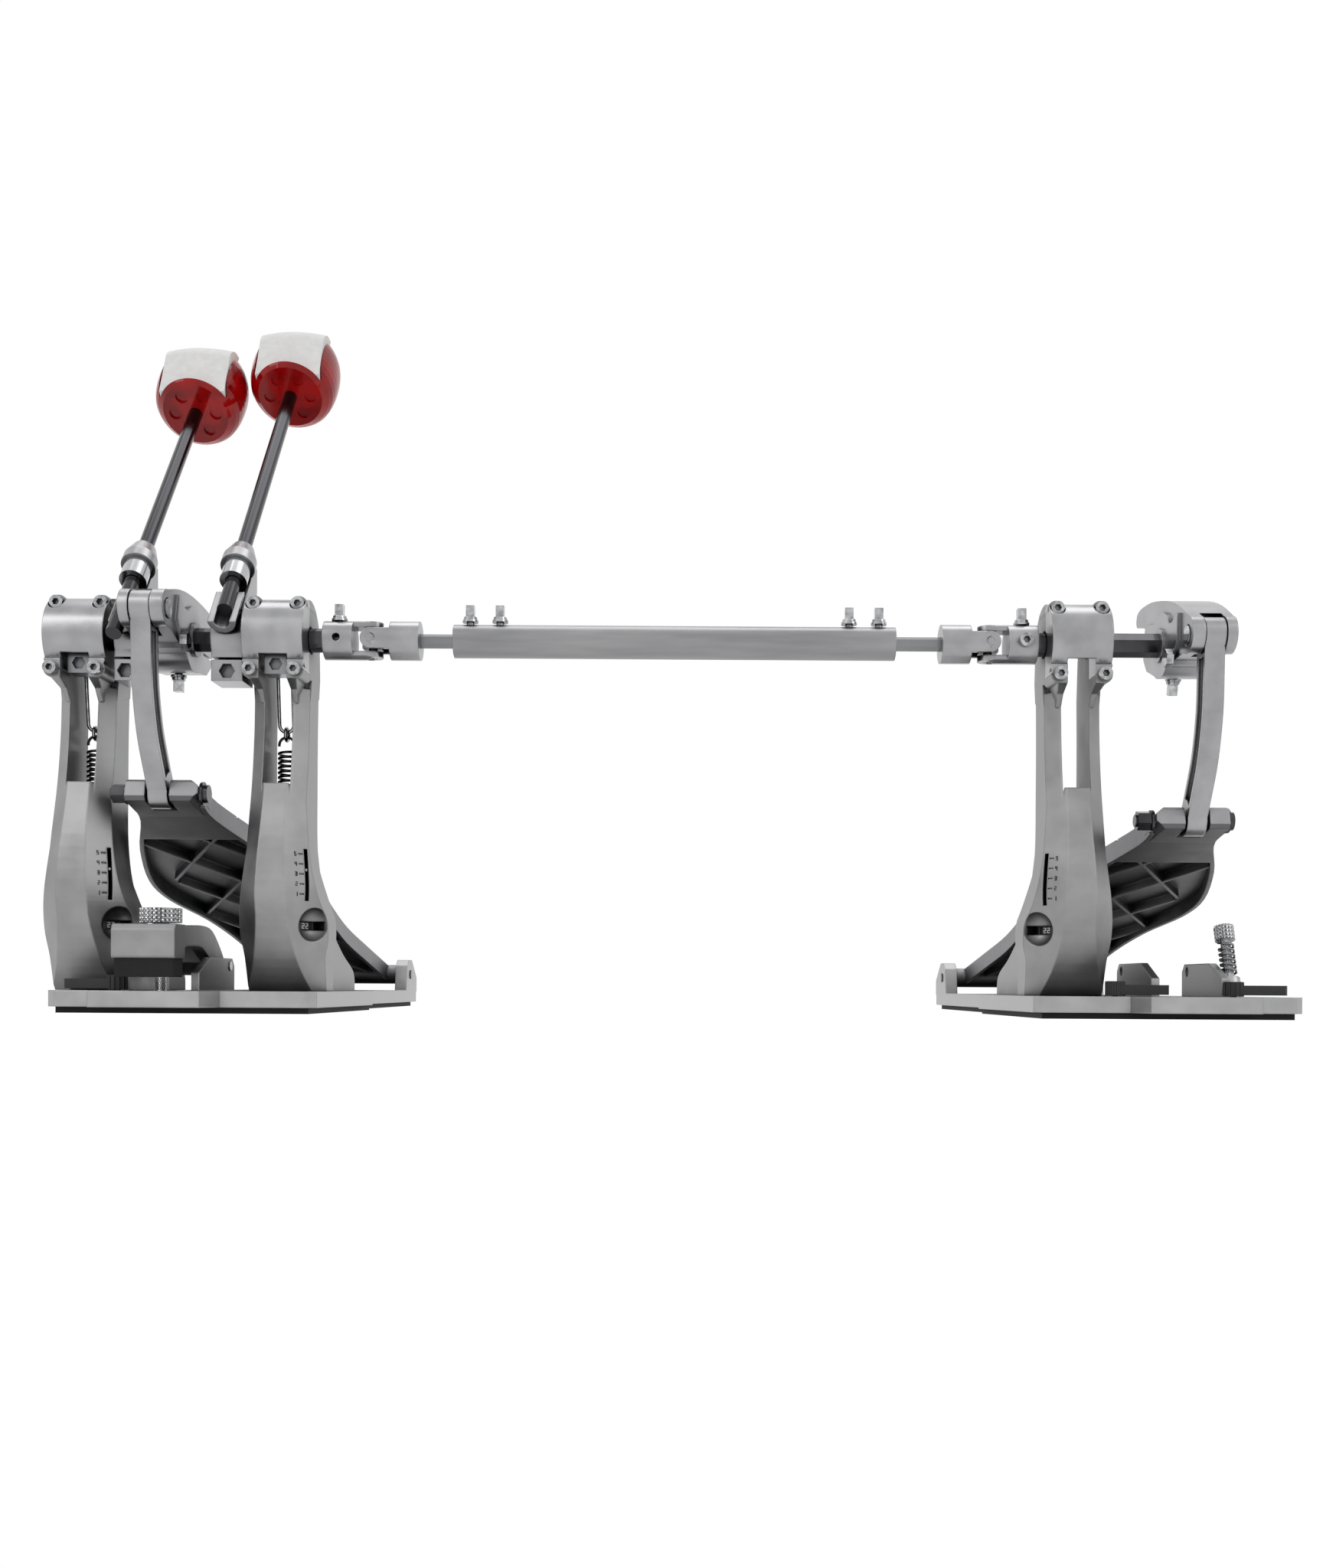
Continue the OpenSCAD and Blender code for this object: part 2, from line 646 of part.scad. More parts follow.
// Return spring hardware, drawn about the tower's centre plane
module tension_wheel() {
  color("#1d1d1f") difference() {
    union() {
      rod_z(wheel_r, wheel_z - wheel_t / 2, wheel_z + wheel_t / 2, 0, spring_back);
      rod_z(tension_rod_r, channel_floor - 8, tension_rod_top, 0, spring_back, 32);
    }
    for (a = [0:15:345]) translate([0, spring_back, wheel_z]) rotate([0, 0, a])
      translate([wheel_r, 0, 0]) cylinder(r = 0.5, h = wheel_t + 1, center = true, $fn = 4);
  }
}
module tension_nut() {
  color("#8d8f92") difference() {
    union() {
      block([-nut_half, spring_back - 6, nut_z], [nut_half, spring_back + 6, nut_z + nut_h]);
      block([0.5, -1, nut_z + 2], [nut_half, spring_back - 5, nut_z + nut_h - 2]);
      on_flare() rod_x(index_r, 1, 18.2, slot_side, nut_z + nut_h / 2, 24);
    }
    rod_z(tension_rod_r + run_gap, nut_z - 1, nut_z + nut_h + 1, 0, spring_back, 32);
  }
}
module rocker() {
  color("#9b9b9d") difference() {
    union() {
      rod_x(11, -rocker_w / 2, rocker_w / 2, 0, axis_z);
      block([-rocker_w / 2, -11, axis_z - 19], [rocker_w / 2, 0, axis_z]);
      along_x(-2, 2) polygon([[-4, axis_z - 9], [-4, axis_z - 17], [rocker_pin_y - 2, rocker_pin_z - 3.4],
        [rocker_pin_y + 2.6, rocker_pin_z - 2], [rocker_pin_y + 3, rocker_pin_z + 3], [8, axis_z - 4]]);
    }
    for (s = [-1, 1]) along_x(s > 0 ? 2 : -window_half, s > 0 ? window_half : -2)
      polygon([[rocker_pin_y - 4.4, rocker_pin_z - 5], [rocker_pin_y + 9, rocker_pin_z - 5],
        [rocker_pin_y + 9, rocker_pin_z + 5], [rocker_pin_y - 4.4, rocker_pin_z + 5]]);
    rod_x(shaft_r + run_gap, -20, 20, 0, axis_z, 6);
    translate([0, -8.5, axis_z - 14]) rotate([90, 0, 0]) cylinder(r = 3.4, h = 6, $fn = 6);
  }
  color("#9b9b9d") rod_x(rocker_pin_r, -shackle_half - 2.2, shackle_half + 2.2, rocker_pin_y, rocker_pin_z, 24);
}
module hook() {
  leg_end = -shackle_len + shackle_half;
  color("#bfc0c2") {
    translate([0, rocker_pin_y, rocker_pin_z]) rotate([shackle_tilt, 0, 0]) {
      for (s = [-1, 1]) {
        difference() {
          rod_x(2.7, s * shackle_half - shackle_r, s * shackle_half + shackle_r, 0, 0, 32);
          rod_x(rocker_pin_r + run_gap, -9, 9, 0, 0, 24);
        }
        rod_z(shackle_r, leg_end, -2.2, s * shackle_half, 0, 24);
      }
      translate([0, 0, leg_end]) rotate([-90, 0, 0]) rotate_extrude(angle = 180, $fn = 48)
        translate([shackle_half, 0]) circle(r = shackle_r, $fn = 24);
    }
    translate([0, spring_back, ring_z]) rotate([0, 90, 0]) rotate_extrude($fn = 48)
      translate([ring_r, 0]) circle(r = shackle_r, $fn = 24);
  }
}
module return_spring() {
  color("#2a2b2d") translate([0, spring_back, 0]) wire(spring_path, wire_r);
}

// Drive shafts, hexagonal with round journals
module journal(tower_x) {
  for (s = [-1, 1])
    rod_x(shaft_r, tower_x + s * bearing_x - bearing_w / 2, tower_x + s * bearing_x + bearing_w / 2, 0, axis_z);
}
module primary_shaft() {
  color("#3c3d3f") {
    rod_x(shaft_r, outer_tower_x - housing_half, primary_end_x, 0, axis_z, 6);
    journal(outer_tower_x);
    rod_x(pilot_r, primary_end_x - 0.1, primary_end_x + pilot_len, 0, axis_z);
  }
}
module secondary_shaft() {
  color("#3c3d3f") difference() {
    union() {
      rod_x(shaft_r, secondary_hub_x[0], secondary_end_x, 0, axis_z, 6);
      journal(inner_tower_x);
      rod_x(shaft_r, inner_tower_x + housing_half, secondary_end_x, 0, axis_z);
    }
    rod_x(pilot_r + run_gap, secondary_hub_x[0] - 1, secondary_hub_x[0] + pilot_len + 1, 0, axis_z);
  }
}
module slave_shaft() {
  color("#3c3d3f") on_slave() turn_about([0, axis_z], slave_turn) {
    rod_x(shaft_r, -cheek_out_l - 1, slave_cross_gap - 14, 0, axis_z, 6);
    journal(inner_tower_x);
    rod_x(shaft_r, inner_tower_x + housing_half, slave_cross_gap - 14, 0, axis_z);
  }
}

// Beater hubs, whose holder lies along the leaning rod
module lean() {
  translate([0, 0, axis_z]) rotate([-rod_lean, 0, 0]) children();
}
module web_side() {
  polygon([[-rod_offset + 5, holder_high - 2], [-9, holder_high - 2], [-2, 38], [8, 24], [hub_r - 1, 4],
    [9, -9], [-9, -8], [-12.6, 8], [-12.6, holder_low + 0.5], [-rod_offset, holder_low + 0.5]]);
}
module hub(x, rod_x0, web) {
  color("#b0b0b1") difference() {
    union() {
      rod_x(hub_r, x[0], x[1], 0, axis_z, 64);
      block([x[0], -13, axis_z - 23], [x[1], 6, axis_z]);
      lean() {
        along_x(web[0], web[1]) web_side();
        intersection() {
          translate([rod_x0, -rod_offset, trough_low]) cylinder(r = trough_r, h = trough_high - trough_low);
          block([x[0], -rod_offset, trough_low], [x[1], 0, trough_high]);
        }
        translate([rod_x0, -rod_offset, holder_low]) {
          cylinder(r = holder_r, h = 6);
          translate([0, 0, 6]) cylinder(r1 = holder_r, r2 = 5.8, h = holder_high - holder_low - 6);
        }
      }
    }
    rod_x(shaft_r + run_gap, x[0] - 1, x[1] + 1, 0, axis_z, 6);
    lean() translate([rod_x0, -rod_offset, -40]) cylinder(r = rod_r + run_gap, h = 120);
    block([x[0] - 1, -20, axis_z - 12.5], [x[1] + 1, 0, axis_z - 11.3]);
    rod_y(4, -20, -9, (x[0] + x[1]) / 2, axis_z - 18, 6);
  }
}
module beater_rod(rod_x0, reach) {
  color("#48484b") lean() translate([rod_x0, -rod_offset, 0]) {
    translate([0, 0, reach - rod_len]) cylinder(r = rod_r, h = rod_len + 8, $fn = 32);
    difference() {
      translate([0, 0, collar_low]) cylinder(r = collar_r - 0.6, h = collar_high - collar_low, $fn = 40);
      translate([0, 0, collar_low - 1]) cylinder(r = rod_r + run_gap, h = 20, $fn = 32);
    }
  }
}
module head_profile(r, h) {
  half = [for (p = smooth([[0.72 * r, 0], [0.93 * r, 0.14 * h], [r, 0.4 * h], [0.96 * r, 0.68 * h],
    [0.76 * r, 0.9 * h], [0.4 * r, h], [0, h]], 3)) [max(0, p[0]), min(h, p[1])]];
  polygon(concat([[0, 0]], half));
}
module head_place(rod_x0, reach) {
  lean() translate([rod_x0, -rod_offset, reach]) children();
}
module felt_pocket(gap) {
  translate([-felt_w / 2 - gap, -head_r - 20, head_low + felt_ledge - gap])
    cube([felt_w + 2 * gap, head_r + 20 - felt_back + gap, head_h + 20]);
}
module beater_head(rod_x0, reach) {
  color([0.72, 0.05, 0.05, 0.75]) head_place(rod_x0, reach) difference() {
    translate([0, 0, head_low]) rotate_extrude($fn = 64) head_profile(head_r, head_h);
    felt_pocket(0);
    translate([0, 0, -60]) cylinder(r = rod_r + run_gap, h = 68 + face_gap, $fn = 32);
    for (a = [-60:60:240]) rotate([0, 0, a]) translate([11.5, 0, head_low - 1])
      cylinder(r = 3.4, h = 2.4, $fn = 24);
  }
}
module felt_side() {
  front = -head_r - 2;
  top = head_low + head_h;
  polygon(concat([[-felt_back, head_low + felt_ledge], [front, head_low + felt_ledge]],
    smooth([[front, top - 13], [front + 1.6, top - 7], [front + 6, top - 1.4], [-felt_back - 5, top + 1.4],
      [-felt_back, top + 1.8]], 3)));
}
module felt(rod_x0, reach) {
  color("#e6e5e2") head_place(rod_x0, reach) intersection() {
    along_x(-felt_w / 2, felt_w / 2) felt_side();
    translate([0, felt_crown - head_r - 2, head_low]) cylinder(r = felt_crown, h = head_h + 4, $fn = 160);
  }
}

// Cam, a clevis in front of the shaft and a clamp around it
module arm_side() {
  translate(cam_pin) circle(r = 9, $fn = 48);
  translate([0, axis_z]) polygon(concat(
    smooth([[-cam_pin_front, cam_pin_up + 9], [-20, 20.4], [0, 22], [26, 20.6], [45, 16.5], [51, 13]], 3),
    smooth([[51.6, 10], [49, 6.8], [40, 7.4], [30, 6], [24, 0]], 3),
    [[0, -10], [-14, -8], [3 - cam_pin_front, cam_pin_up - 8.4]]));
}
module clamp_side() {
  translate([0, axis_z]) {
    circle(r = clamp_r, $fn = 64);
    polygon([[-16, 12], [-24, 17], [-27, 4], [-19, -8], [6, -15.5], [20, -14], [27, -9], [30, -2], [28, 9]]);
  }
}
module cam() {
  color("#b5b5b6") difference() {
    union() {
      along_x(-cheek_out_l, cheek_out_r) arm_side();
      along_x(2 - cheek_out_l, cheek_out_r + 1.6) clamp_side();
      rod_x(8.6, cheek_out_r, cheek_out_r + 3, 0, axis_z);
    }
    slot = link_half + cheek_gap;
    rod_x(11, -slot, slot, cam_pin[0], cam_pin[1]);
    block([-slot, -80, axis_z - 40], [slot, 11 - cam_pin_front, cam_pin[1]]);
    rod_x(shaft_r + run_gap, -20, 20, 0, axis_z, 6);
    rod_x(pin_r + run_gap, -20, 20, cam_pin[0], cam_pin[1]);
    block([-20, 14, axis_z - 5], [20, 80, axis_z - 3.6]);
    rod_x(pin_head_r + 0.4, cheek_out_r - pin_head_in, cheek_out_r + 1, cam_pin[0], cam_pin[1]);
    rod_x(pin_head_r + 0.4, -cheek_out_l - 1, pin_head_in - cheek_out_l, cam_pin[0], cam_pin[1]);
    rod_z(2 + run_gap, axis_z - clamp_r - 1, axis_z - 8, 3, 6, 24);
  }
}
module cam_fasteners() {
  color("#c6c7ca") {
    rod_x(pin_r, pin_head_in - cheek_out_l, cheek_out_r - pin_head_in, cam_pin[0], cam_pin[1]);
    rod_x(pin_head_r, cheek_out_r - pin_head_in, cheek_out_r + 0.6, cam_pin[0], cam_pin[1]);
    rod_x(pin_head_r, 0.4 - cheek_out_l, pin_head_in - cheek_out_l, cam_pin[0], cam_pin[1]);
    rod_x(4.6, cheek_out_r + 1.6, cheek_out_r + 5, -21, axis_z - 5, 6);
    translate([3, 6, axis_z - clamp_r - 0.3]) mirror([0, 0, 1]) key_screw(8);
  }
}

// Direct-drive link: a bowed bar with an eye at each end
bow = smooth([cam_pin, [1 - cam_pin_front, axis_z - 10], [3 - cam_pin_front, axis_z - 30],
  [-28.5, axis_z - 50], [-19.5, axis_z - 65], toe_pin], 4);
function bow_dir(i) = unit(bow[min(len(bow) - 1, i + 1)] - bow[max(0, i - 1)]);
function bow_edge(w) = [for (i = [0:len(bow) - 1]) bow[i] + w * [-bow_dir(i)[1], bow_dir(i)[0]]];
function reversed(p) = [for (i = [len(p) - 1:-1:0]) p[i]];
module bow_band(w) {
  polygon(concat(bow_edge(w), reversed(bow_edge(-w))));
}
module link() {
  groove = 1.7;
  color("#b9b9ba") difference() {
    union() {
      along_x(-link_half, link_half) bow_band(5.8);
      rod_x(8.4, -link_half, link_half, cam_pin[0], cam_pin[1]);
      rod_x(link_end_r, -link_half, link_half, toe_pin[0], toe_pin[1]);
    }
    for (s = [-1, 1]) difference() {
      along_x(s > 0 ? link_half - groove : -link_half - 1, s > 0 ? link_half + 1 : groove - link_half) bow_band(3.6);
      rod_x(11, -20, 20, cam_pin[0], cam_pin[1]);
      rod_x(11, -20, 20, toe_pin[0], toe_pin[1]);
    }
    rod_x(pin_r + run_gap, -20, 20, cam_pin[0], cam_pin[1]);
    rod_x(pin_r + eye_gap, -20, 20, toe_pin[0], toe_pin[1]);
  }
}

// Footboard, drawn flat from its heel pin towards the toe and then tilted
module on_board() {
  translate([0, heel_back, heel_z]) rotate([-board_tilt, 0, 0]) children();
}
function board_left() = smooth([[-toe_boss_l, 6 - board_len], [-18, 24 - board_len], [-32, 66 - board_len],
  [-43, 116 - board_len], [-42, 150 - board_len], [-30, 188 - board_len], [-23, 232 - board_len],
  [-22, -50], [-24, 0]], 4);
function board_right() = smooth([[toe_boss_r, 6 - board_len], [21, 24 - board_len], [32, 66 - board_len],
  [43, 116 - board_len], [46, 150 - board_len], [45, 188 - board_len], [46, 232 - board_len],
  [51, -50], [58, 0]], 4);
module board_outline(inset) {
  polygon(concat([for (p = board_left()) [p[0] + inset, p[1]]],
    reversed([for (p = board_right()) [p[0] - inset, p[1]]])));
}
module board_ribs() {
  rib_low = board_top - rim_h + 2;
  intersection() {
    translate([0, 0, rib_low]) linear_extrude(rim_h - 3) board_outline(1);
    for (k = [0:3], a = [-32, 32])
      translate([8, -75 - k * 62, rib_low + 4]) rotate([0, 0, a]) cube([1.8, 140, 8], center = true);
  }
}
module toe_block() {
  intersection() {
    translate([0, -board_len, 0]) along_x(-toe_boss_l, toe_boss_r)
      polygon([[toe_front_y + 1.5, board_top], [toe_front_y, board_top - 1.5], [toe_front_y, -4], [toe_front_y + 2, -6],
        [18, board_top - rim_h], [18, board_top]]);
    along_y(-board_len - 30, 30 - board_len)
      polygon([[1 - toe_boss_l, board_top], [-toe_boss_l, board_top - 1], [-toe_boss_l, -6], [toe_boss_r - 4, -6],
        [toe_boss_r, -2.5], [toe_boss_r, board_top - 3.5], [toe_boss_r - 4, board_top]]);
  }
}
module footboard() {
  barrel_l = heel_cheek_l + heel_cheek_t + 0.5;
  barrel_rt = heel_cheek_r - heel_cheek_t - 0.5;
  slot = link_half + toe_slot_gap;
  color("#a4a4a5") on_board() difference() {
    union() {
      difference() {
        translate([0, 0, board_top - rim_h]) linear_extrude(rim_h) board_outline(0);
        translate([0, 0, board_top - rim_h - 1]) linear_extrude(rim_h - board_t + 1) board_outline(2.4);
      }
      board_ribs();
      rod_x(barrel_r, barrel_l, barrel_rt);
      toe_block();
      intersection() {
        translate([0, 0, board_top - rim_h]) linear_extrude(rim_h - 1) board_outline(1);
        block([-40, 10 - board_len, -20], [40, chin_len - board_len, 20]);
      }
    }
    rod_x(heel_pin_r + run_gap, -60, 90, 0, 0);
    rod_x(pin_r + run_gap, -40, 40, -board_len, 0);
    rod_x(link_end_r + 2.6, -slot, slot, -board_len, 0);
    block([-slot, -board_len - 20, 0], [slot, link_end_r + 2.6 - board_len, 30]);
    translate([0, 0, board_top - 0.9]) for (k = [0:15])
      block([-16, 42 - board_len + k * 14, 0], [26, 44 - board_len + k * 14, 2]);
  }
}
// The toe bolt from its nut's end, at -X, to its head; both are the same way round on both pedals
module toe_bolt(nut_end, head_end) {
  rod_x(pin_r, nut_end - 9, head_end, -board_len, 0);
  rod_x(6, head_end, head_end + 1.4, -board_len, 0);
  rod_x(4.6, head_end + 1.3, head_end + 3.6, -board_len, 0);
  rod_x(5.4, nut_end - 1.4, nut_end, -board_len, 0);
  difference() {
    rod_x(5, nut_end - 8, nut_end - 1.4 - face_gap, -board_len, 0, 6);
    rod_x(pin_r + run_gap, nut_end - 10, 0, -board_len, 0);
  }
}
module footboard_pins(on_master) {
  color("#55565a") on_board() {
    rod_x(heel_pin_r, heel_cheek_l - 0.8, heel_cheek_r + 0.8, 0, 0);
    if (on_master) toe_bolt(-toe_boss_l, toe_boss_r);
    if (!on_master) mirror([1, 0, 0]) toe_bolt(-toe_boss_r, toe_boss_l);
  }
}

// Universal joints and telescoping linkage
module yoke(len) {
  ear = yoke_r - 3.7;
  difference() {
    union() {
      rod_x(yoke_r, -len, -fork_reach - 4);
      intersection() {
        rod_x(yoke_r, -fork_reach - 4.1, 0);
        block([-20, -5.2, -20], [0, 5.2, 20]);
      }
      for (s = [-1, 1]) rod_z(5.2, s > 0 ? ear : -yoke_r + 0.9, s > 0 ? yoke_r - 0.9 : -ear, 0, 0, 32);
    }
    block([-fork_reach - 4, -20, -ear], [20, 20, ear]);
    rod_z(2.2 + run_gap, -20, 20, 0, 0, 24);
  }
}
module cross_piece() {
  block([-4.6, -4.6, -4.6], [4.6, 4.6, 4.6]);
  rod_z(2.2, -yoke_r + 1, yoke_r - 1, 0, 0, 24);
  rod_y(2.2, -yoke_r + 1, yoke_r - 1, 0, 0, 24);
}
module universal_joint(x, len_in, bore_in, len_out) {
  translate([x, 0, axis_z]) {
    color("#b7b7b8") difference() {
      yoke(len_in);
      rod_x(bore_in + run_gap, -len_in - 1, -13.9);
      rod_z(2 + run_gap, 4, 20, -17, 0, 24);
      rod_y(screw_r + run_gap, -20, -4, -17, 0, 24);
    }
    color("#b7b7b8") difference() {
      rotate([90, 0, 0]) mirror([1, 0, 0]) yoke(len_out);
      rod_x(bar_r + run_gap, 14.9, len_out + 1, 0, 0, 6);
    }
    color("#4a4b4e") cross_piece();
  }
}
module master_universal_joint() {
  universal_joint(master_cross_x, yoke_len, shaft_r, yoke_len);
}
module slave_universal_joint() {
  on_slave() universal_joint(slave_cross_gap, yoke_len, shaft_r, yoke_len);
}
module master_bar() {
  color("#77787b") rod_x(bar_r, master_cross_x + 15, tube_x0 + bar_in, 0, axis_z, 6);
}
module slave_bar() {
  color("#77787b") rod_x(bar_r, tube_x1 - bar_in, slave_cross_x - 15, 0, axis_z, 6);
}
module linkage_tube() {
  color("#9c9c9d") difference() {
    rod_x(tube_r, tube_x0, tube_x1, 0, axis_z);
    rod_x(bar_r + run_gap, tube_x0 - 1, tube_x1 + 1, 0, axis_z, 6);
    for (d = tube_screw_in, x = [tube_x0 + d, tube_x1 - d]) rod_z(2 + run_gap, axis_z + 3, axis_z + 20, x, 0, 24);
  }
}
module secondary_fasteners() {
  color("#cfd0d3") {
    for (d = tube_screw_in, x = [tube_x0 + d, tube_x1 - d])
      translate([x, 0, axis_z + tube_r + 1.2]) key_screw(tube_r + 1.2 - bar_r - 0.3);
    translate([master_cross_x - 17, 0, axis_z + yoke_r]) key_screw(yoke_r - shaft_r - 0.3);
  }
}
module slave_fasteners() {
  on_slave() {
    turn_about([0, axis_z], slave_turn) cam_fasteners();
    color("#cfd0d3") translate([slave_cross_gap - 17, 0, axis_z + yoke_r]) key_screw(yoke_r - shaft_r - 0.3);
    color("#cfd0d3") translate([slave_cross_gap - 17, -yoke_r, axis_z]) rotate([90, 0, 0])
      cap_screw(yoke_r - shaft_r - 0.3);
  }
}

// Hoop clamp
module arm_side_view() {
  polygon(concat(smooth([[clamp_pin_y + 6, clamp_pin_z], [clamp_pin_y, clamp_pin_z + 7], [22, 42], [2, 44],
    [-12, knob_z - 0.4]], 4),
    [[jaw_front + 2, knob_z - 0.6], [jaw_front, jaw_top - 1.4], [jaw_front, jaw_low + 1], [jaw_front + 1, jaw_low],
    [jaw_back, jaw_low], [jaw_back + 2, jaw_low + 4]],
    smooth([[-18, 33], [4, 33], [20, 27], [clamp_pin_y - 5, clamp_pin_z - 3], [clamp_pin_y + 3, clamp_pin_z - 5]], 4)));
}
module clamp_arm() {
  color("#a7a7a8") difference() {
    union() {
      along_x(arm_mid - arm_w / 2, arm_mid + arm_w / 2) difference() {
        arm_side_view();
        translate([jaw_front - 1, 0]) square([jaw_back - jaw_front + 1, 80]);
      }
      along_x(jaw_mid - jaw_w / 2, jaw_mid + jaw_w / 2) intersection() {
        arm_side_view();
        translate([jaw_front - 1, 0]) square([jaw_back - jaw_front + 1.2, 80]);
      }
    }
    rod_x(clamp_pin_r + run_gap, -40, 40, clamp_pin_y, clamp_pin_z);
    block([knob_x - knob_stem_r - 0.8, knob_y - 6.5, 20], [knob_x + knob_stem_r + 0.8, knob_y + 6.5, 60]);
    block([-8, 2, 20], [10, 24, 38]);
  }
}
module clamp_pad() {
  color("#161617") block([jaw_mid - jaw_w / 2 + 1, jaw_front + 1.5, pad_low], [jaw_mid + jaw_w / 2 - 1, jaw_back - 0.5, jaw_low]);
}
module clamp_knob() {
  color("#c4c4c6") translate([knob_x, knob_y, 0]) {
    difference() {
      rod_z(knob_r, knob_z + 0.9, knob_z + 0.9 + knob_h);
      for (a = [0:12:348]) rotate([0, 0, a]) translate([knob_r, 0, knob_z + knob_h / 2 + 1])
        cylinder(r = 0.55, h = knob_h + 4, center = true, $fn = 4);
    }
    rod_z(knob_stem_r + 1, knob_z, knob_z + 1);
    rod_z(knob_stem_r, 7, knob_z + 1);
  }
}
module clamp_pin() {
  half = arm_w / 2 + ear_gap + ear_t;
  color("#c9c9cc") rod_x(clamp_pin_r, arm_mid - half - 0.6, arm_mid + half + 0.6, clamp_pin_y, clamp_pin_z);
}

// Floor spur: the axis points down and towards the drum
module spur_axis() {
  translate([spur_x, spur_y, spur_seat]) rotate([-spur_lean, 0, 0]) children();
}
module spur() {
  color("#c4c4c6") on_slave() spur_axis() {
    difference() {
      translate([0, 0, spur_coil_len]) cylinder(r = spur_head_r, h = spur_head_h);
      translate([-10, -0.7, spur_coil_len + spur_head_h - 2]) cube([20, 1.4, 4]);
      for (a = [0:20:340]) rotate([0, 0, a]) translate([spur_head_r, 0, spur_coil_len])
        cylinder(r = 0.45, h = 40, center = true, $fn = 4);
    }
    translate([0, 0, -spur_below]) cylinder(r = spur_r, h = spur_coil_len + spur_below + 0.1, $fn = 32);
  }
}
spur_path = concat(
  coil(spur_coil_r, 2 * spur_wire_r + face_gap, spur_coil_len - 2 * spur_wire_r - face_gap, spur_turns, spur_wire_r),
  [on_coil(spur_coil_r, 0, spur_coil_len - face_gap)]);
echo(spur_spring_self_gap = self_gap(spur_path, spur_wire_r));
module spur_spring() {
  color("#9a9b9e") on_slave() spur_axis() wire(spur_path, spur_wire_r);
}

// Black swing levers on ribbed hubs
module lever(x) {
  color("#161617") {
    rod_z(1.5, 6, base_top + 1, x, lever_y, 24);
    rod_z(lever_hub_r, base_top + seat_gap, base_top + seat_gap + lever_t + 1.2, x, lever_y);
    for (a = [0:30:330]) translate([x, lever_y, 0]) rotate([0, 0, a])
      rod_z(0.6, base_top + seat_gap, base_top + seat_gap + lever_t + 1, lever_hub_r, 0, 16);
    translate([0, 0, base_top + seat_gap + 0.6]) linear_extrude(lever_t - 1.2)
      polygon([[x, lever_y - 3.4], [x - lever_len, lever_y - 2], [x - lever_len - 1.4, lever_y],
          [x - lever_len, lever_y + 2], [x, lever_y + 3.4]]);
  }
}

color("#a6a6a7") base_plate(false);  // master_base
mat(false);  // master_mat
translate([outer_tower_x, 0, 0]) tower();  // outer_tower
translate([inner_tower_x, 0, 0]) tower();  // inner_tower
for (x = [outer_tower_x, inner_tower_x]) translate([x, 0, 0]) bearing_cap();  // master_bearing_caps
union() {  // master_screws
  for (x = [outer_tower_x, inner_tower_x]) translate([x, 0, 0]) tower_screws();
  clamp_pin();
}
for (x = [outer_tower_x, inner_tower_x], s = [-1, 1]) translate([x, 0, 0]) bearing(s);  // master_bearings
translate([outer_tower_x, 0, 0]) return_spring();  // primary_spring
translate([inner_tower_x, 0, 0]) return_spring();  // secondary_spring
translate([outer_tower_x, 0, 0]) tension_wheel();  // outer_tension_wheel
translate([outer_tower_x, 0, 0]) tension_nut();  // outer_tension_nut
translate([inner_tower_x, 0, 0]) tension_wheel();  // inner_tension_wheel
translate([inner_tower_x, 0, 0]) tension_nut();  // inner_tension_nut
lever(outer_lever_x);  // master_lever
clamp_arm();
clamp_pad();
clamp_knob();
primary_shaft();
hub(primary_hub_x, primary_rod_x, [-20.5, -13.4]);  // primary_hub
cam();  // primary_cam
cam_fasteners();  // primary_fasteners
translate([outer_tower_x, 0, 0]) rocker();  // primary_rocker
translate([outer_tower_x, 0, 0]) hook();  // primary_hook
link();  // primary_link
footboard();  // primary_footboard
footboard_pins(true);  // primary_footboard_pins
beater_rod(primary_rod_x, primary_reach);  // primary_rod
beater_head(primary_rod_x, primary_reach);  // primary_head
felt(primary_rod_x, primary_reach);  // primary_felt
secondary_shaft();
hub(secondary_hub_x, secondary_rod_x, [30, 38]);  // secondary_hub
translate([inner_tower_x, 0, 0]) rocker();  // secondary_rocker
translate([inner_tower_x, 0, 0]) hook();  // secondary_hook
secondary_fasteners();
beater_rod(secondary_rod_x, secondary_reach);  // secondary_rod
beater_head(secondary_rod_x, secondary_reach);  // secondary_head
felt(secondary_rod_x, secondary_reach);  // secondary_felt
master_universal_joint();
master_bar();
linkage_tube();
slave_universal_joint();
slave_bar();
slave_shaft();
on_slave() turn_about([0, axis_z], slave_turn) cam();  // slave_cam
slave_fasteners();
color("#a6a6a7") on_slave() base_plate(true);  // slave_base
on_slave() mat(true);  // slave_mat
on_slave() translate([inner_tower_x, 0, 0]) tower();  // slave_tower
on_slave() translate([inner_tower_x, 0, 0]) bearing_cap();  // slave_bearing_cap
on_slave() translate([inner_tower_x, 0, 0]) tower_screws();  // slave_screws
on_slave() for (s = [-1, 1]) translate([inner_tower_x, 0, 0]) bearing(s);  // slave_bearings
on_slave() translate([inner_tower_x, 0, 0]) tension_wheel();  // slave_tension_wheel
on_slave() translate([0, slave_pin[0], slave_pin[1]]) rotate([slave_link_turn, 0, 0])  // slave_link
    translate([0, -cam_pin[0], -cam_pin[1]]) link();
on_slave() turn_about(heel_pin, slave_board_turn) footboard();  // slave_footboard
on_slave() turn_about(heel_pin, slave_board_turn) footboard_pins(false);  // slave_footboard_pins
spur();
spur_spring();
on_slave() lever(inner_lever_x);  // slave_lever_inner
on_slave() lever(outer_lever_x);  // slave_lever_outer
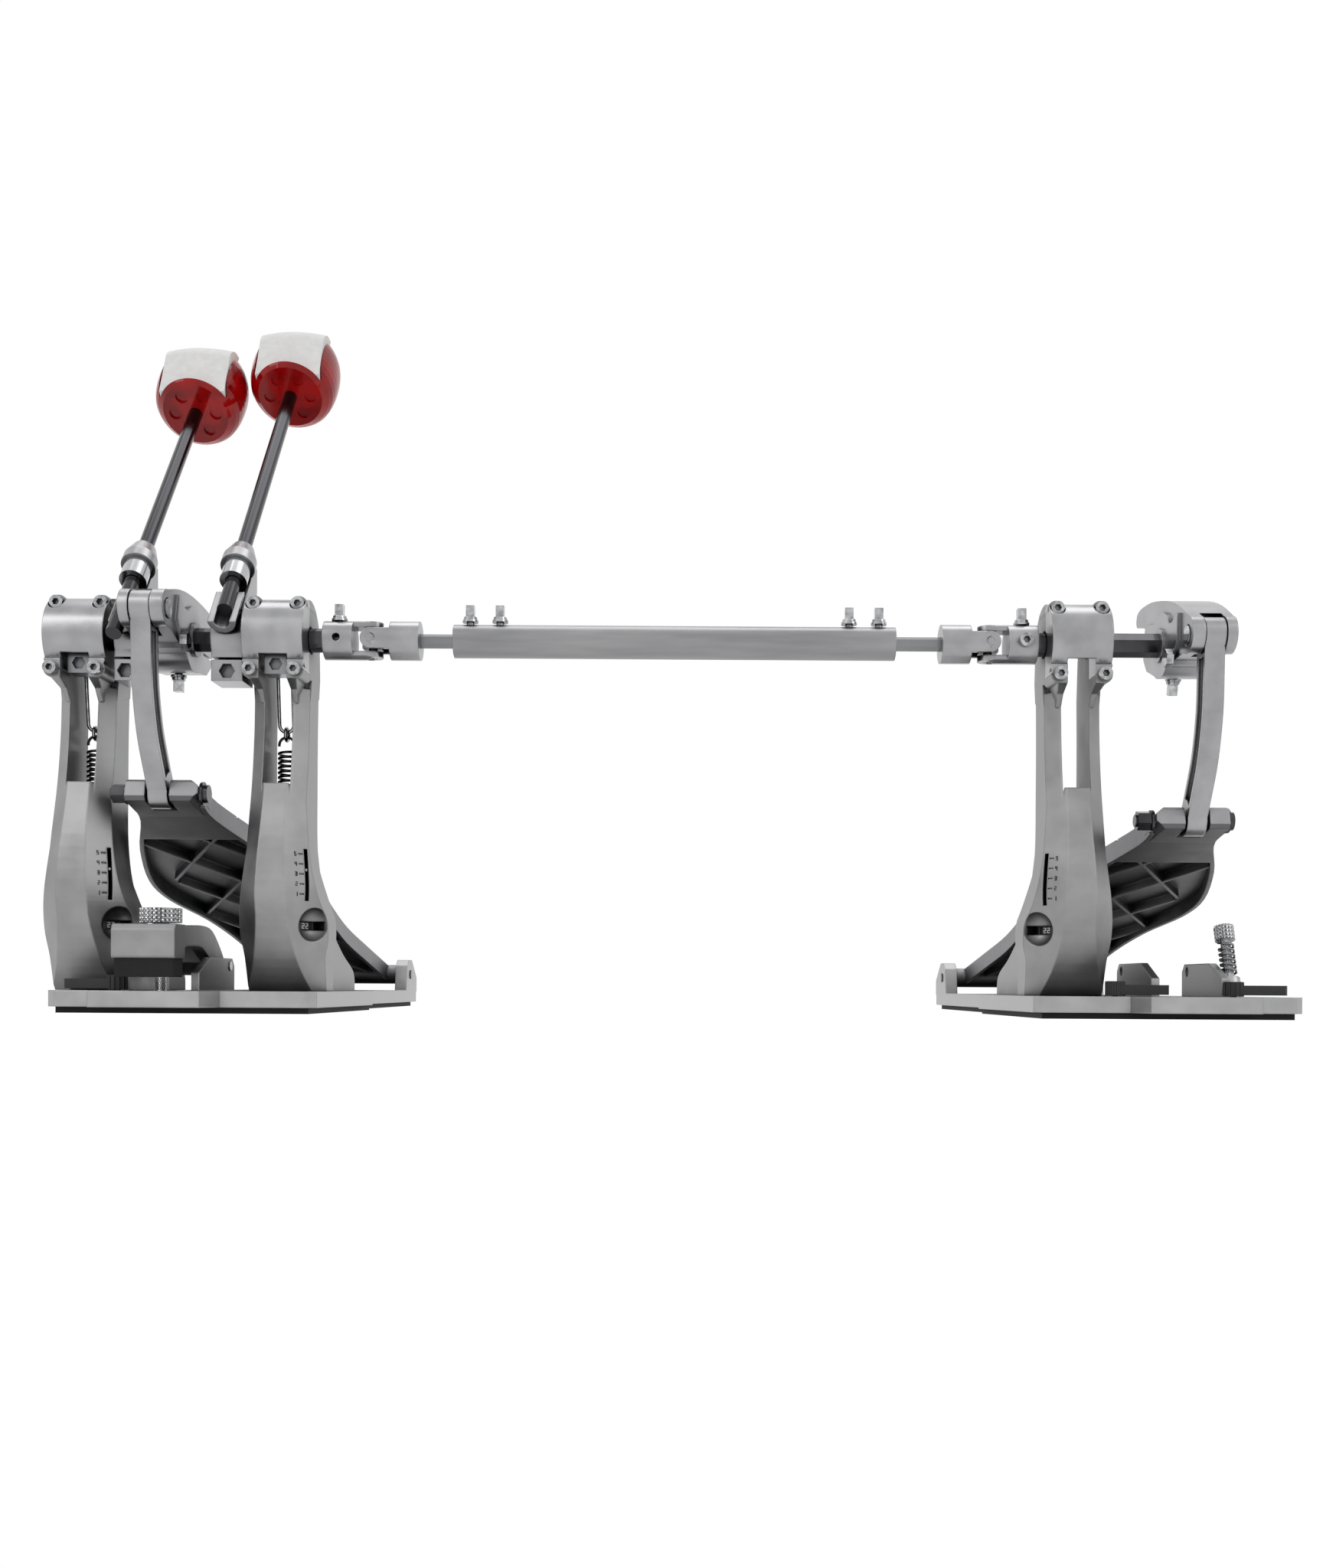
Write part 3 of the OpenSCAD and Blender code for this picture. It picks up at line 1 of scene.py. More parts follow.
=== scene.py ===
import math
import bmesh
import bpy
import numpy as np
from mathutils import Matrix, Vector


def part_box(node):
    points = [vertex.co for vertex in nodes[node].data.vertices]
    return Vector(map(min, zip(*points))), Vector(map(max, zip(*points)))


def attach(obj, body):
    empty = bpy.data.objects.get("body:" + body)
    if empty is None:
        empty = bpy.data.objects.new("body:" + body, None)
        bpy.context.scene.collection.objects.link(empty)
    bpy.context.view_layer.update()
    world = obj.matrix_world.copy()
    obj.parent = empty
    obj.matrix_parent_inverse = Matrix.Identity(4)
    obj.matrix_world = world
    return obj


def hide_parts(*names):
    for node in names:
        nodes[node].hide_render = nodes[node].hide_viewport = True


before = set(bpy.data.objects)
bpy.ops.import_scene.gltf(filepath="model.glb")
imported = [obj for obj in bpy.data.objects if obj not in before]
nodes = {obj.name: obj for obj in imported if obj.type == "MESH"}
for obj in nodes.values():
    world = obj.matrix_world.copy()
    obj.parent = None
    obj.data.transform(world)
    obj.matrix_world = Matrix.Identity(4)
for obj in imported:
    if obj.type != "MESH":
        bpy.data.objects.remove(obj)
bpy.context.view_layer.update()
scene = bpy.context.scene
scene.view_settings.view_transform = "Standard"
mm = 0.001

# The camera, fitted to the photograph in pixels of its full size
camera = {"place": (0.258, -0.800, 0.014), "focal": 2070, "axisX": 886, "axisY": 1290, "roll": 0.35,
          "imageWidth": 1745, "imageHeight": 2048}


def addCamera(c):
    data = bpy.data.cameras.new("photoCamera")
    data.sensor_width = 36
    data.lens = c["focal"] / c["imageHeight"] * 36
    data.shift_x = (c["imageWidth"] / 2 - c["axisX"]) / c["imageHeight"]
    data.shift_y = (c["axisY"] - c["imageHeight"] / 2) / c["imageHeight"]
    data.clip_start = 0.05
    data.clip_end = 50
    obj = bpy.data.objects.new("photoCamera", data)
    obj.matrix_world = (Matrix.Translation(c["place"]) @ Matrix.Rotation(math.radians(90), 4, "X")
                        @ Matrix.Rotation(math.radians(c["roll"]), 4, "Z"))
    scene.collection.objects.link(obj)
    scene.camera = obj


addCamera(camera)
print("camera placed")


# Material helpers
def hexColour(code, alpha=1.0):  # an sRGB hex value as linear light
    part = [int(code[i:i + 2], 16) / 255 for i in (1, 3, 5)]
    return tuple(v / 12.92 if v <= 0.04045 else ((v + 0.055) / 1.055) ** 2.4 for v in part) + (alpha,)


def addNode(tree, kind, inputs=None, **settings):  # one node with its settings, values and links
    node = tree.nodes.new(kind)
    for key, value in settings.items():
        setattr(node, key, value)
    for key, value in (inputs or {}).items():
        socket = node.inputs[key]
        if isinstance(value, bpy.types.NodeSocket):
            tree.links.new(value, socket)
        else:
            socket.default_value = value
    return node


def newMaterial(name):
    material = bpy.data.materials.new(name)
    material.use_nodes = True
    tree = material.node_tree
    tree.nodes.clear()
    output = addNode(tree, "ShaderNodeOutputMaterial")
    place = addNode(tree, "ShaderNodeTexCoord").outputs["Object"]
    return material, tree, output, place


def ramp(tree, factor, stops):
    node = addNode(tree, "ShaderNodeValToRGB", {"Fac": factor})
    elements = node.color_ramp.elements
    for i, (at, colour) in enumerate(stops):
        element = elements[i] if i < 2 else elements.new(at)
        element.position = at
        element.color = colour
    return node.outputs["Color"]


def noiseFactor(tree, place, size, octaves):  # noise from 0 to 1, its features about size mm wide
    inputs = {"Vector": place, "Scale": 1 / (size * mm), "Detail": octaves}
    return addNode(tree, "ShaderNodeTexNoise", inputs).outputs["Fac"]


def compute(tree, operation, first, second):
    return addNode(tree, "ShaderNodeMath", {0: first, 1: second}, operation=operation).outputs[0]


def mapRange(tree, value, span, low, high):  # value over span, carried to low and high
    inputs = {"Value": value, "From Min": span[0], "From Max": span[1], "To Min": low, "To Max": high}
    return addNode(tree, "ShaderNodeMapRange", inputs).outputs[0]


def shaded(tree, colour, value, span, share):  # the colour, down to a share of it where value is low
    shade = mapRange(tree, value, span, share, 1.0)
    return addNode(tree, "ShaderNodeVectorMath", {0: colour, "Scale": shade}, operation="SCALE").outputs[0]


def grainBump(tree, height, depth, edge):  # a grain depth mm deep, over edges that look rounded by edge mm
    bump = addNode(tree, "ShaderNodeBump", {"Height": height, "Distance": depth * mm, "Strength": 1.0})
    if edge:
        rounded = addNode(tree, "ShaderNodeBevel", {"Radius": edge * mm}, samples=shading["bevelSamples"])
        tree.links.new(rounded.outputs["Normal"], bump.inputs["Normal"])
    return bump


# What the materials share: over which spans of noise, openness (for painted shade in corners), upward slope (for
# painted shade beneath) and knurl height (for painted shade in grooves) they change, and how many octaves their
# wide and fine noise has
shading = {"cloudStops": (0.3, 0.7), "roughSpan": (0.25, 0.75), "openSpan": (0.15, 0.85), "openSamples": 8,
           "riseSpan": (-0.6, 0.2), "bevelSamples": 4, "knurlSpan": (0.03, 0.2), "knurlGrooveShade": 0.35,
           "metalWide": 3.0, "metalFine": 2.0, "softWide": 4.0, "softFine": 3.0}


def cloudColour(tree, factor, low, high):
    first, last = shading["cloudStops"]
    return ramp(tree, factor, [(first, hexColour(low)), (last, hexColour(high))])


# Crossed ridges round an upright axis: height is the least of two triangle waves that lean opposite ways
def knurlHeight(tree, place, k):
    axis = addNode(tree, "ShaderNodeMapping", {"Vector": place, "Location": k["centre"],
                                               "Rotation": k["turn"]}, vector_type="TEXTURE").outputs["Vector"]
    part = addNode(tree, "ShaderNodeSeparateXYZ", {0: axis})
    angle = compute(tree, "ARCTAN2", part.outputs["Y"], part.outputs["X"])
    around = compute(tree, "MULTIPLY", angle, k["count"] / (2 * math.pi))
    high = compute(tree, "MULTIPLY", part.outputs["Z"], 1 / (k["pitch"] * mm))
    waves = [compute(tree, "PINGPONG", compute(tree, way, around, high), 0.5) for way in ("ADD", "SUBTRACT")]
    return compute(tree, "MINIMUM", waves[0], waves[1])


# Metal with a grained surface: grit and cloud give the sizes in mm of the fine and the wide variation. Painted
# shade darkens the colour in corners within a given reach in mm, down to a share of it, and on faces that look
# down, down to another share
def metalMaterial(name, low, high, roughness, spread, grit, gritDepth, cloud=18.0, stretch=(1, 1, 1), edge=0.0,
                  cornerShadeShare=1.0, cornerShadeReach=14.0, downShadeShare=1.0, knurl=None):
    material, tree, output, place = newMaterial(name)
    mapped = addNode(tree, "ShaderNodeMapping", {"Vector": place, "Scale": stretch}).outputs["Vector"]
    wide = noiseFactor(tree, mapped, cloud, shading["metalWide"])
    fine = noiseFactor(tree, mapped, grit, shading["metalFine"])
    colour = cloudColour(tree, wide, low, high)
    rough = mapRange(tree, wide, shading["roughSpan"], roughness - spread, roughness + spread)
    # painted shade: the colour is darkened where ambient occlusion finds the surface closed in
    if cornerShadeShare < 1:
        openness = addNode(tree, "ShaderNodeAmbientOcclusion", {"Distance": cornerShadeReach * mm},
                           samples=shading["openSamples"]).outputs["AO"]
        colour = shaded(tree, colour, openness, shading["openSpan"], cornerShadeShare)
    if knurl:
        ridges = knurlHeight(tree, place, knurl)
        # painted shade: the knurl's grooves are darkened in the colour, down to a share of it
        colour = shaded(tree, colour, ridges, shading["knurlSpan"], shading["knurlGrooveShade"])
    # painted shade: the colour is darkened on faces that look down
    if downShadeShare < 1:
        normal = addNode(tree, "ShaderNodeNewGeometry").outputs["Normal"]
        rise = addNode(tree, "ShaderNodeSeparateXYZ", {0: normal}).outputs["Z"]
        colour = shaded(tree, colour, rise, shading["riseSpan"], downShadeShare)
    bump = grainBump(tree, fine, gritDepth, edge)
    if knurl:
        bump = addNode(tree, "ShaderNodeBump", {"Height": ridges, "Distance": knurl["depth"] * mm,
                                                "Strength": 1.0, "Normal": bump.outputs["Normal"]})
    shader = addNode(tree, "ShaderNodeBsdfPrincipled", {"Base Color": colour, "Metallic": 1.0,
                                                        "Roughness": rough, "Normal": bump.outputs["Normal"]})
    tree.links.new(shader.outputs[0], output.inputs["Surface"])
    return material


# Plastic, rubber or fabric: a base colour that varies, with a grain
def softMaterial(name, low, high, roughness, grain, grainDepth, cloud=10.0, sheen=0.0, edge=0.0, specular=0.5):
    material, tree, output, place = newMaterial(name)
    wide = noiseFactor(tree, place, cloud, shading["softWide"])
    fine = noiseFactor(tree, place, grain, shading["softFine"])
    colour = cloudColour(tree, wide, low, high)
    bump = grainBump(tree, fine, grainDepth, edge)
    shader = addNode(tree, "ShaderNodeBsdfPrincipled", {"Base Color": colour, "Roughness": roughness,
                                                        "Normal": bump.outputs["Normal"], "Sheen Weight": sheen,
                                                        "Specular IOR Level": specular})
    tree.links.new(shader.outputs[0], output.inputs["Surface"])
    return material


# Pressure-cast aluminium, tumbled: a grey satin with soft edges, faint clouds and painted shade in corners
castAluminium = metalMaterial("castAluminium", "#89898a", "#9b9b9c", 0.42, 0.07, 0.5, 0.016, edge=1.2,
                              cornerShadeShare=0.12, cornerShadeReach=24)
# The base plates: the same casting painted brighter, as painted light on their lit front faces, with less
# painted shade in corners
litBaseCasting = metalMaterial("litBaseCasting", "#9a9a9b", "#acacad", 0.36, 0.07, 0.5, 0.014, edge=1.0,
                              cornerShadeShare=0.3, cornerShadeReach=6)
# The footboards: ground on top and left as cast beneath, the colour darkened as painted shade on faces that look
# down and in corners
shadedFootboardAluminium = metalMaterial("shadedFootboardAluminium", "#87878a", "#98989a", 0.48, 0.07, 0.6, 0.03, edge=1.0,
                                  cornerShadeShare=0.25, cornerShadeReach=22, downShadeShare=0.45)
# The same alloy, machined and polished: brighter and smoother
polishedAluminium = metalMaterial("polishedAluminium", "#909092", "#a6a6a8", 0.28, 0.06, 0.4, 0.006, edge=0.9,
                                  cornerShadeShare=0.12, cornerShadeReach=14)
# Drawn aluminium tube, brushed along its length
drawnAluminium = metalMaterial("drawnAluminium", "#848486", "#989899", 0.36, 0.06, 0.5, 0.02, cloud=7,
                               stretch=(0.12, 1, 1), edge=0.6)
# Chrome-plated steel: bright and sharp
chromeSteel = metalMaterial("chromeSteel", "#848587", "#c2c3c5", 0.1, 0.03, 0.8, 0.002, cloud=3, edge=0.3,
                            cornerShadeShare=0.06, cornerShadeReach=5)
# The same steel with a rolled diamond knurl, whose real ridges are about 1 mm apart: twice as coarse, to show
knobKnurl = {"centre": (4.5 * mm, -24 * mm, 0), "turn": (0, 0, 0), "count": 26, "pitch": 2.2, "depth": 0.5}
spurKnurl = {"centre": (537 * mm, 2 * mm, 20 * mm), "turn": (math.radians(-20), 0, 0), "count": 16,
             "pitch": 2.0, "depth": 0.4}
# Both knurled steels carry painted shade in the knurl's grooves
knurledKnobSteel, knurledSpurSteel = (
    metalMaterial(name, "#b4b5b7", "#cbccce", 0.2, 0.04, 0.8, 0.002, knurl=knurl)
    for name, knurl in (("knurledKnobSteel", knobKnurl), ("knurledSpurSteel", spurKnurl)))
# Zinc-plated steel: a duller, bluish grey
zincSteel = metalMaterial("zincSteel", "#7c7e81", "#8f9194", 0.3, 0.06, 0.5, 0.008, edge=0.3, cornerShadeShare=0.2,
                          cornerShadeReach=6)
# Ground steel bar, hexagonal: plain grey
groundSteel = metalMaterial("groundSteel", "#77787a", "#8b8c8e", 0.3, 0.06, 0.5, 0.006, stretch=(0.15, 1, 1),
                            edge=0.3)
# Black-nickel steel: nearly black with clear highlights
blackNickelSteel = metalMaterial("blackNickelSteel", "#38383a", "#4b4b4d", 0.17, 0.05, 0.6, 0.004, edge=0.3)

# Where each beater's rod stands across the part and how far along it the head sits, in mm
beaters = {"primary": {"side": -18, "reach": 203}, "secondary": {"side": 32.6, "reach": 222}}
# rootY and rootZ are where a rod's axis comes nearest the shaft's, and turn is its lean in degrees. Whatever
# lies farther than collarFrom mm from that axis is the collar
rodFinish = {"rootY": -15.32, "rootZ": 200.86, "turn": -40, "collarFrom": 4.2, "rod": "#3e3e41",
             "collar": "#b2b3b5", "grain": 0.5, "grainDepth": 0.004, "stretch": (1, 1, 0.1), "roughness": 0.16}


# The beater rods: black nickel, with a chromed memory collar where the solid is wider than the rod
def beaterRodMaterial(name, side):
    f = rodFinish
    material, tree, output, place = newMaterial(name)
    root = (side * mm, f["rootY"] * mm, f["rootZ"] * mm)
    along = addNode(tree, "ShaderNodeMapping", {"Vector": place, "Location": root,
                                                "Rotation": (math.radians(f["turn"]), 0, 0)},
                    vector_type="TEXTURE")
    part = addNode(tree, "ShaderNodeSeparateXYZ", {0: along.outputs["Vector"]})
    flat = addNode(tree, "ShaderNodeCombineXYZ", {0: part.outputs["X"], 1: part.outputs["Y"]}).outputs[0]
    radius = addNode(tree, "ShaderNodeVectorMath", {0: flat}, operation="LENGTH").outputs["Value"]
    collar = compute(tree, "GREATER_THAN", radius, f["collarFrom"] * mm)
    colours = {6: hexColour(f["rod"]), 7: hexColour(f["collar"])}
    colour = addNode(tree, "ShaderNodeMix", {"Factor": collar, **colours}, data_type="RGBA").outputs[2]
    brushed = addNode(tree, "ShaderNodeMapping", {"Vector": along.outputs["Vector"], "Scale": f["stretch"]})
    grain = addNode(tree, "ShaderNodeTexNoise", {"Vector": brushed.outputs["Vector"],
                                                 "Scale": 1 / (f["grain"] * mm)})
    bump = grainBump(tree, grain.outputs["Fac"], f["grainDepth"], 0)
    shader = addNode(tree, "ShaderNodeBsdfPrincipled", {"Base Color": colour, "Metallic": 1.0,
                                                        "Roughness": f["roughness"],
                                                        "Normal": bump.outputs["Normal"]})
    tree.links.new(shader.outputs[0], output.inputs["Surface"])
    return material


primaryRodSteel = beaterRodMaterial("primaryRodSteel", beaters["primary"]["side"])
secondaryRodSteel = beaterRodMaterial("secondaryRodSteel", beaters["secondary"]["side"])
# Phosphated spring wire: dark and slightly rough
phosphatedWire = metalMaterial("phosphatedWire", "#2c2d2f", "#3c3d3f", 0.32, 0.06, 0.4, 0.004)
# Moulded nylon: black with a fine spark-eroded grain
mouldedNylon = softMaterial("mouldedNylon", "#141415", "#1c1c1d", 0.48, 0.5, 0.015, edge=0.4)
# Vulcanised rubber: black and matte
vulcanisedRubber = softMaterial("vulcanisedRubber", "#131314", "#1b1b1c", 0.7, 0.7, 0.03, edge=0.5,
                                specular=0.3)
# Pressed wool felt: white, matte, with fibres
pressedFelt = softMaterial("pressedFelt", "#eeeeec", "#f8f8f6", 0.95, 0.8, 0.1, cloud=4, sheen=0.2,
                           specular=0.15)


# Cast acrylic, dyed through: half-clear red with a gloss skin, its colour drifting over cloud mm
acrylic = {"cloud": 14, "low": "#9c0408", "high": "#c40a0a", "octaves": 2.0, "roughness": 0.06, "index": 1.49,
           "clear": 0.4, "specular": 0.2}


def acrylicMaterial():
    a = acrylic
    material, tree, output, place = newMaterial("castAcrylic")
    colour = cloudColour(tree, noiseFactor(tree, place, a["cloud"], a["octaves"]), a["low"], a["high"])
    shader = addNode(tree, "ShaderNodeBsdfPrincipled", {"Base Color": colour, "Roughness": a["roughness"],
                                                        "IOR": a["index"], "Transmission Weight": a["clear"],
                                                        "Specular IOR Level": a["specular"]})
    tree.links.new(shader.outputs[0], output.inputs["Surface"])
    return material


castAcrylic = acrylicMaterial()
print("materials made")

# Which finish each CAD node takes
finishes = {
    castAluminium: ["outer_tower", "inner_tower", "clamp_arm", "slave_tower"],
    litBaseCasting: ["master_base", "slave_base"],
    shadedFootboardAluminium: ["primary_footboard", "slave_footboard"],
    knurledKnobSteel: ["clamp_knob"],
    knurledSpurSteel: ["spur"],
    polishedAluminium: ["master_bearing_caps", "primary_hub", "primary_cam", "primary_link", "secondary_hub",
                        "master_universal_joint", "slave_universal_joint", "slave_cam", "slave_bearing_cap",
                        "slave_link"],
    drawnAluminium: ["linkage_tube"],
    chromeSteel: ["master_screws", "primary_fasteners", "secondary_fasteners", "slave_fasteners", "slave_screws",
                  "primary_hook", "secondary_hook"],
    zincSteel: ["master_bearings", "slave_bearings", "outer_tension_nut", "inner_tension_nut", "primary_rocker",
                "secondary_rocker", "spur_spring"],
    groundSteel: ["master_bar", "slave_bar"],
    blackNickelSteel: ["primary_shaft", "secondary_shaft", "slave_shaft", "primary_footboard_pins",
                       "slave_footboard_pins"],
    primaryRodSteel: ["primary_rod"],
    secondaryRodSteel: ["secondary_rod"],
    phosphatedWire: ["primary_spring", "secondary_spring"],
    castAcrylic: ["primary_head", "secondary_head"],
    pressedFelt: ["primary_felt", "secondary_felt"],
    mouldedNylon: ["outer_tension_wheel", "inner_tension_wheel", "slave_tension_wheel", "master_lever",
                   "slave_lever_inner", "slave_lever_outer"],
    vulcanisedRubber: ["master_mat", "slave_mat", "clamp_pad"],
}
for material, names in finishes.items():
    for name in names:
        nodes[name].data.materials.clear()
        nodes[name].data.materials.append(material)
print("CAD nodes finished")


# Own pieces, in mm, carried into metres when the mesh is made
def addPiece(name, points, faces, material, smooth=True):
    mesh = bpy.data.meshes.new(name)
    mesh.from_pydata([tuple(v) for v in np.asarray(points) * mm], [], faces)
    mesh.polygons.foreach_set("use_smooth", [smooth] * len(mesh.polygons))
    mesh.materials.append(material)
    shell = bmesh.new()
    shell.from_mesh(mesh)
    bmesh.ops.remove_doubles(shell, verts=shell.verts, dist=1e-6)
    bmesh.ops.recalc_face_normals(shell, faces=shell.faces)
    shell.to_mesh(mesh)
    shell.free()
    obj = bpy.data.objects.new(name, mesh)
    scene.collection.objects.link(obj)
    return obj


def gridFaces(rows, columns, closed=False):  # quads of a grid, whose last column meets the first when closed
    faces = []
    for i in range(rows - 1):
        for j in range(columns if closed else columns - 1):
            k = (j + 1) % columns
            faces.append((i * columns + j, i * columns + k, (i + 1) * columns + k, (i + 1) * columns + j))
    return faces


def addBevel(obj, width, segments=3):
    modifier = obj.modifiers.new("softEdge", "BEVEL")
    modifier.width = width * mm
    modifier.segments = segments
    modifier.limit_method = "ANGLE"
    modifier.angle_limit = math.radians(35)


# How the beaters lean at rest, about the shaft's axis at axisZ, and how far their rods pass in front of it
lean = {"angle": math.radians(40), "axisZ": 188, "offset": -20}


def leaned(points, side, reach):  # from a beater's own frame, whose Z runs up its rod, to the part's frame
    x, y, z = np.asarray(points, dtype=float).T
    y = y + lean["offset"]
    z = z + reach
    c, s = math.cos(lean["angle"]), math.sin(lean["angle"])
    return np.column_stack([x + side, y * c + z * s, lean["axisZ"] - y * s + z * c])


felt = {"width": 36.5, "back": -9, "front": -22.6, "crown": 62, "edge": 1.6, "across": 21, "rounds": 3,
        "profile": [(-13.5, -21.5), (-20.5, 0), (-22.6, 5), (-21.1, 11), (-17, 16.8), (-12, 20), (-9, 21.5)]}


def cornersCut(points, rounds):  # each round puts two points on every side, a quarter of it from its ends
    p = np.asarray(points, dtype=float)
    for _ in range(rounds):
        pairs = np.stack([0.75 * p[:-1] + 0.25 * p[1:], 0.25 * p[:-1] + 0.75 * p[1:]], axis=1)
        p = np.concatenate([p[:1], pairs.reshape(-1, 2), p[-1:]])
    return p


# The side profile leans out from its foot and rolls back at the top. The front also curves round the width:
# y = profile + crown - sqrt(crown^2 - x^2), fading to nothing at the back
def addFelt(name, node, body, side, reach):
    f = felt
    x = np.linspace(-f["width"] / 2, f["width"] / 2, f["across"])
    y, z = cornersCut(f["profile"], f["rounds"]).T
    depth = f["back"] - f["front"]
    bow = f["crown"] - np.sqrt(f["crown"] ** 2 - x ** 2)
    share = (f["back"] - y) / depth
    front = [(x[j], y[i] + bow[j] * share[i], z[i]) for i in range(len(y)) for j in range(len(x))]
    level = [z[0] + (z[-1] - z[0]) * i / (len(y) - 1) for i in range(len(y))]
    back = [(across, f["back"], up) for up in level for across in x]
    count = len(front)
    rows, columns = len(y), len(x)
    faces = gridFaces(rows, columns)
    faces += [tuple(count + k for k in reversed(face)) for face in gridFaces(rows, columns)]
    for j, turn in ((0, 1), (columns - 1, -1)):
        for i in range(rows - 1):
            a, b = i * columns + j, (i + 1) * columns + j
            faces.append((a, b, count + b, count + a)[::turn])
    for i, turn in ((0, -1), (rows - 1, 1)):
        for j in range(columns - 1):
            a = i * columns + j
            faces.append((a, a + 1, count + a + 1, count + a)[::-turn])
    obj = addPiece(name, leaned(front + back, side, reach), faces, pressedFelt)
    addBevel(obj, f["edge"])
    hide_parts(node)
    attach(obj, body)


for key, at in beaters.items():
    addFelt(key + "FeltPad", key + "_felt", key + "_beater", at["side"], at["reach"])
print("felts made")


# Extension springs: a round tube along a helix, (r cos t, r sin t, z0 + pitch t / 2 pi), with a half loop on top
spring = {"wire": 0.7, "radius": 3.9, "turns": 23, "perTurn": 28, "sides": 10, "backY": 13, "loopLift": 3.5,
          "loopSteps": 24}


def tubeAlong(path, radius, sides):
    path = np.asarray(path, dtype=float)
    way = np.gradient(path, axis=0)
    way /= np.linalg.norm(way, axis=1)[:, None]
    side = np.cross(way[0], (0.3, 0.2, 1))  # any direction that isn't along the path starts the rings
    rings = []
    for point, along in zip(path, way):
        side = side - along * side.dot(along)
        side /= np.linalg.norm(side)
        other = np.cross(along, side)
        for k in range(sides):
            a = 2 * math.pi * k / sides
            rings.append(point + radius * (math.cos(a) * side + math.sin(a) * other))
    faces = gridFaces(len(path), sides, closed=True)
    faces += [tuple(range(sides - 1, -1, -1)), tuple(range((len(path) - 1) * sides, len(path) * sides))]
    return rings, faces


def addSpring(name, node, body):
    s = spring
    low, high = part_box(node)
    centreX = (low[0] + high[0]) / 2 / mm
    bottom = low[2] / mm + 2 * s["wire"]
    loopZ = high[2] / mm - s["wire"] - s["radius"]
    top = loopZ - s["loopLift"]
    t = np.linspace(0, 2 * math.pi * s["turns"], s["turns"] * s["perTurn"])
    helix = np.column_stack([s["radius"] * np.cos(t), s["radius"] * np.sin(t),
                             bottom + (top - bottom) * t / t[-1]])
    a = np.linspace(0, math.pi, s["loopSteps"])
    loop = np.column_stack([s["radius"] * np.cos(a), 0 * a, loopZ + s["radius"] * np.sin(a)])
    tail = [(-s["radius"], 0, loopZ - s["wire"])]
    path = np.vstack([[(s["radius"], 0, bottom - s["wire"])], helix, loop, tail]) + (centreX, s["backY"], 0)
    points, faces = tubeAlong(path, s["wire"], s["sides"])
    obj = addPiece(name, points, faces, phosphatedWire)
    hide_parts(node)
    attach(obj, body)


addSpring("primaryCoil", "primary_spring", "outer_nut")
addSpring("secondaryCoil", "secondary_spring", "inner_nut")
print("springs made")

# Printed figures, drawn with seven straight strokes, as on a plain scale
figure = {"strokes": ("abcdef", "bc", "abged", "abgcd", "fgbc", "afgcd", "afgedc", "abc", "abcdefg", "abcdfg"),
          "thick": 0.16, "aspect": 0.55, "gap": 0.2}
# White and black marking paint
whitePaint = softMaterial("whitePaint", "#dedede", "#eeeeee", 0.6, 0.4, 0.002)
blackPaint = softMaterial("blackPaint", "#1a1a1a", "#262626", 0.6, 0.4, 0.002)


def figureBars(digit, height):  # the corners, across and up, of each stroke of a digit
    wide = height * figure["aspect"]
    t = height * figure["thick"]
    half = height / 2
    bars = {"a": (0, height - t, wide, height), "b": (wide - t, half, wide, height),
            "c": (wide - t, 0, wide, half), "d": (0, 0, wide, t), "e": (0, 0, t, half),
            "f": (0, half, t, height), "g": (0, half - t / 2, wide, half + t / 2)}
    return [bars[k] for k in figure["strokes"][digit]]


# place carries (across, up, out) in mm to a point of the part's frame
def addFigures(name, marks, place, body, material, proud=0.12, steps=3):
    points, faces = [], []
    for text, across, up, height in marks:
        for n, character in enumerate(text):
            shift = across + n * height * (figure["aspect"] + figure["gap"])
            for x0, z0, x1, z1 in figureBars(int(character), height):
                start = len(points)
                for i in range(steps + 1):
                    x = shift + x0 + (x1 - x0) * i / steps
                    points += [place(x, up + z0, -proud), place(x, up + z1, -proud), place(x, up + z1, proud),
                               place(x, up + z0, proud)]
                for i in range(steps):
                    for k in range(4):
                        a = start + 4 * i
                        faces.append((a + k, a + (k + 1) % 4, a + 4 + (k + 1) % 4, a + 4 + k))
                last = start + 4 * steps
                faces += [tuple(start + k for k in (3, 2, 1, 0)), tuple(last + k for k in range(4))]
    obj = addPiece(name, points, faces, material, smooth=False)
    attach(obj, body)


tower = {"wheelR": 18, "wheelZ": 44, "backY": 13, "scaleLeft": -2.6, "scaleLow": 59, "scaleStep": 5,
         "scaleMarks": 5, "scaleHeight": 2.1, "faceZ": (44, 58, 70, 86), "faceOut": (24, 27, 26.5, 23.5),
         "rimTurn": -45, "wheelFirst": 10, "wheelCount": 9, "wheelRise": 3, "wheelStep": 11,
         "wheelLeft": -1.8, "wheelLow": -1.4, "wheelHeight": 2.8, "scaleProud": 0.35}


# The wheel's rim, looked at out of the scoop: angle = across / radius about the wheel's axis.
# hand is -1 on the slave's tower, a mirror image whose figures still read from left to right
def rimPlace(centreX, hand):
    def place(across, up, out):
        angle = math.radians(tower["rimTurn"]) + hand * across / tower["wheelR"]
        r = tower["wheelR"] + out
        x, y = centreX + hand * r * math.cos(angle), tower["backY"] + r * math.sin(angle)
        return (x, y, tower["wheelZ"] + up)
    return place


# The slanted face: out along (1, -1) and across along (1, 1), both over the root of 2
def facePlace(centreX, hand):
    def place(across, up, out):
        r = np.interp(up, tower["faceZ"], tower["faceOut"]) / math.sqrt(2) + out
        a = hand * across
        return (centreX + hand * (r + a) / math.sqrt(2), (a - r) / math.sqrt(2), up)
    return place


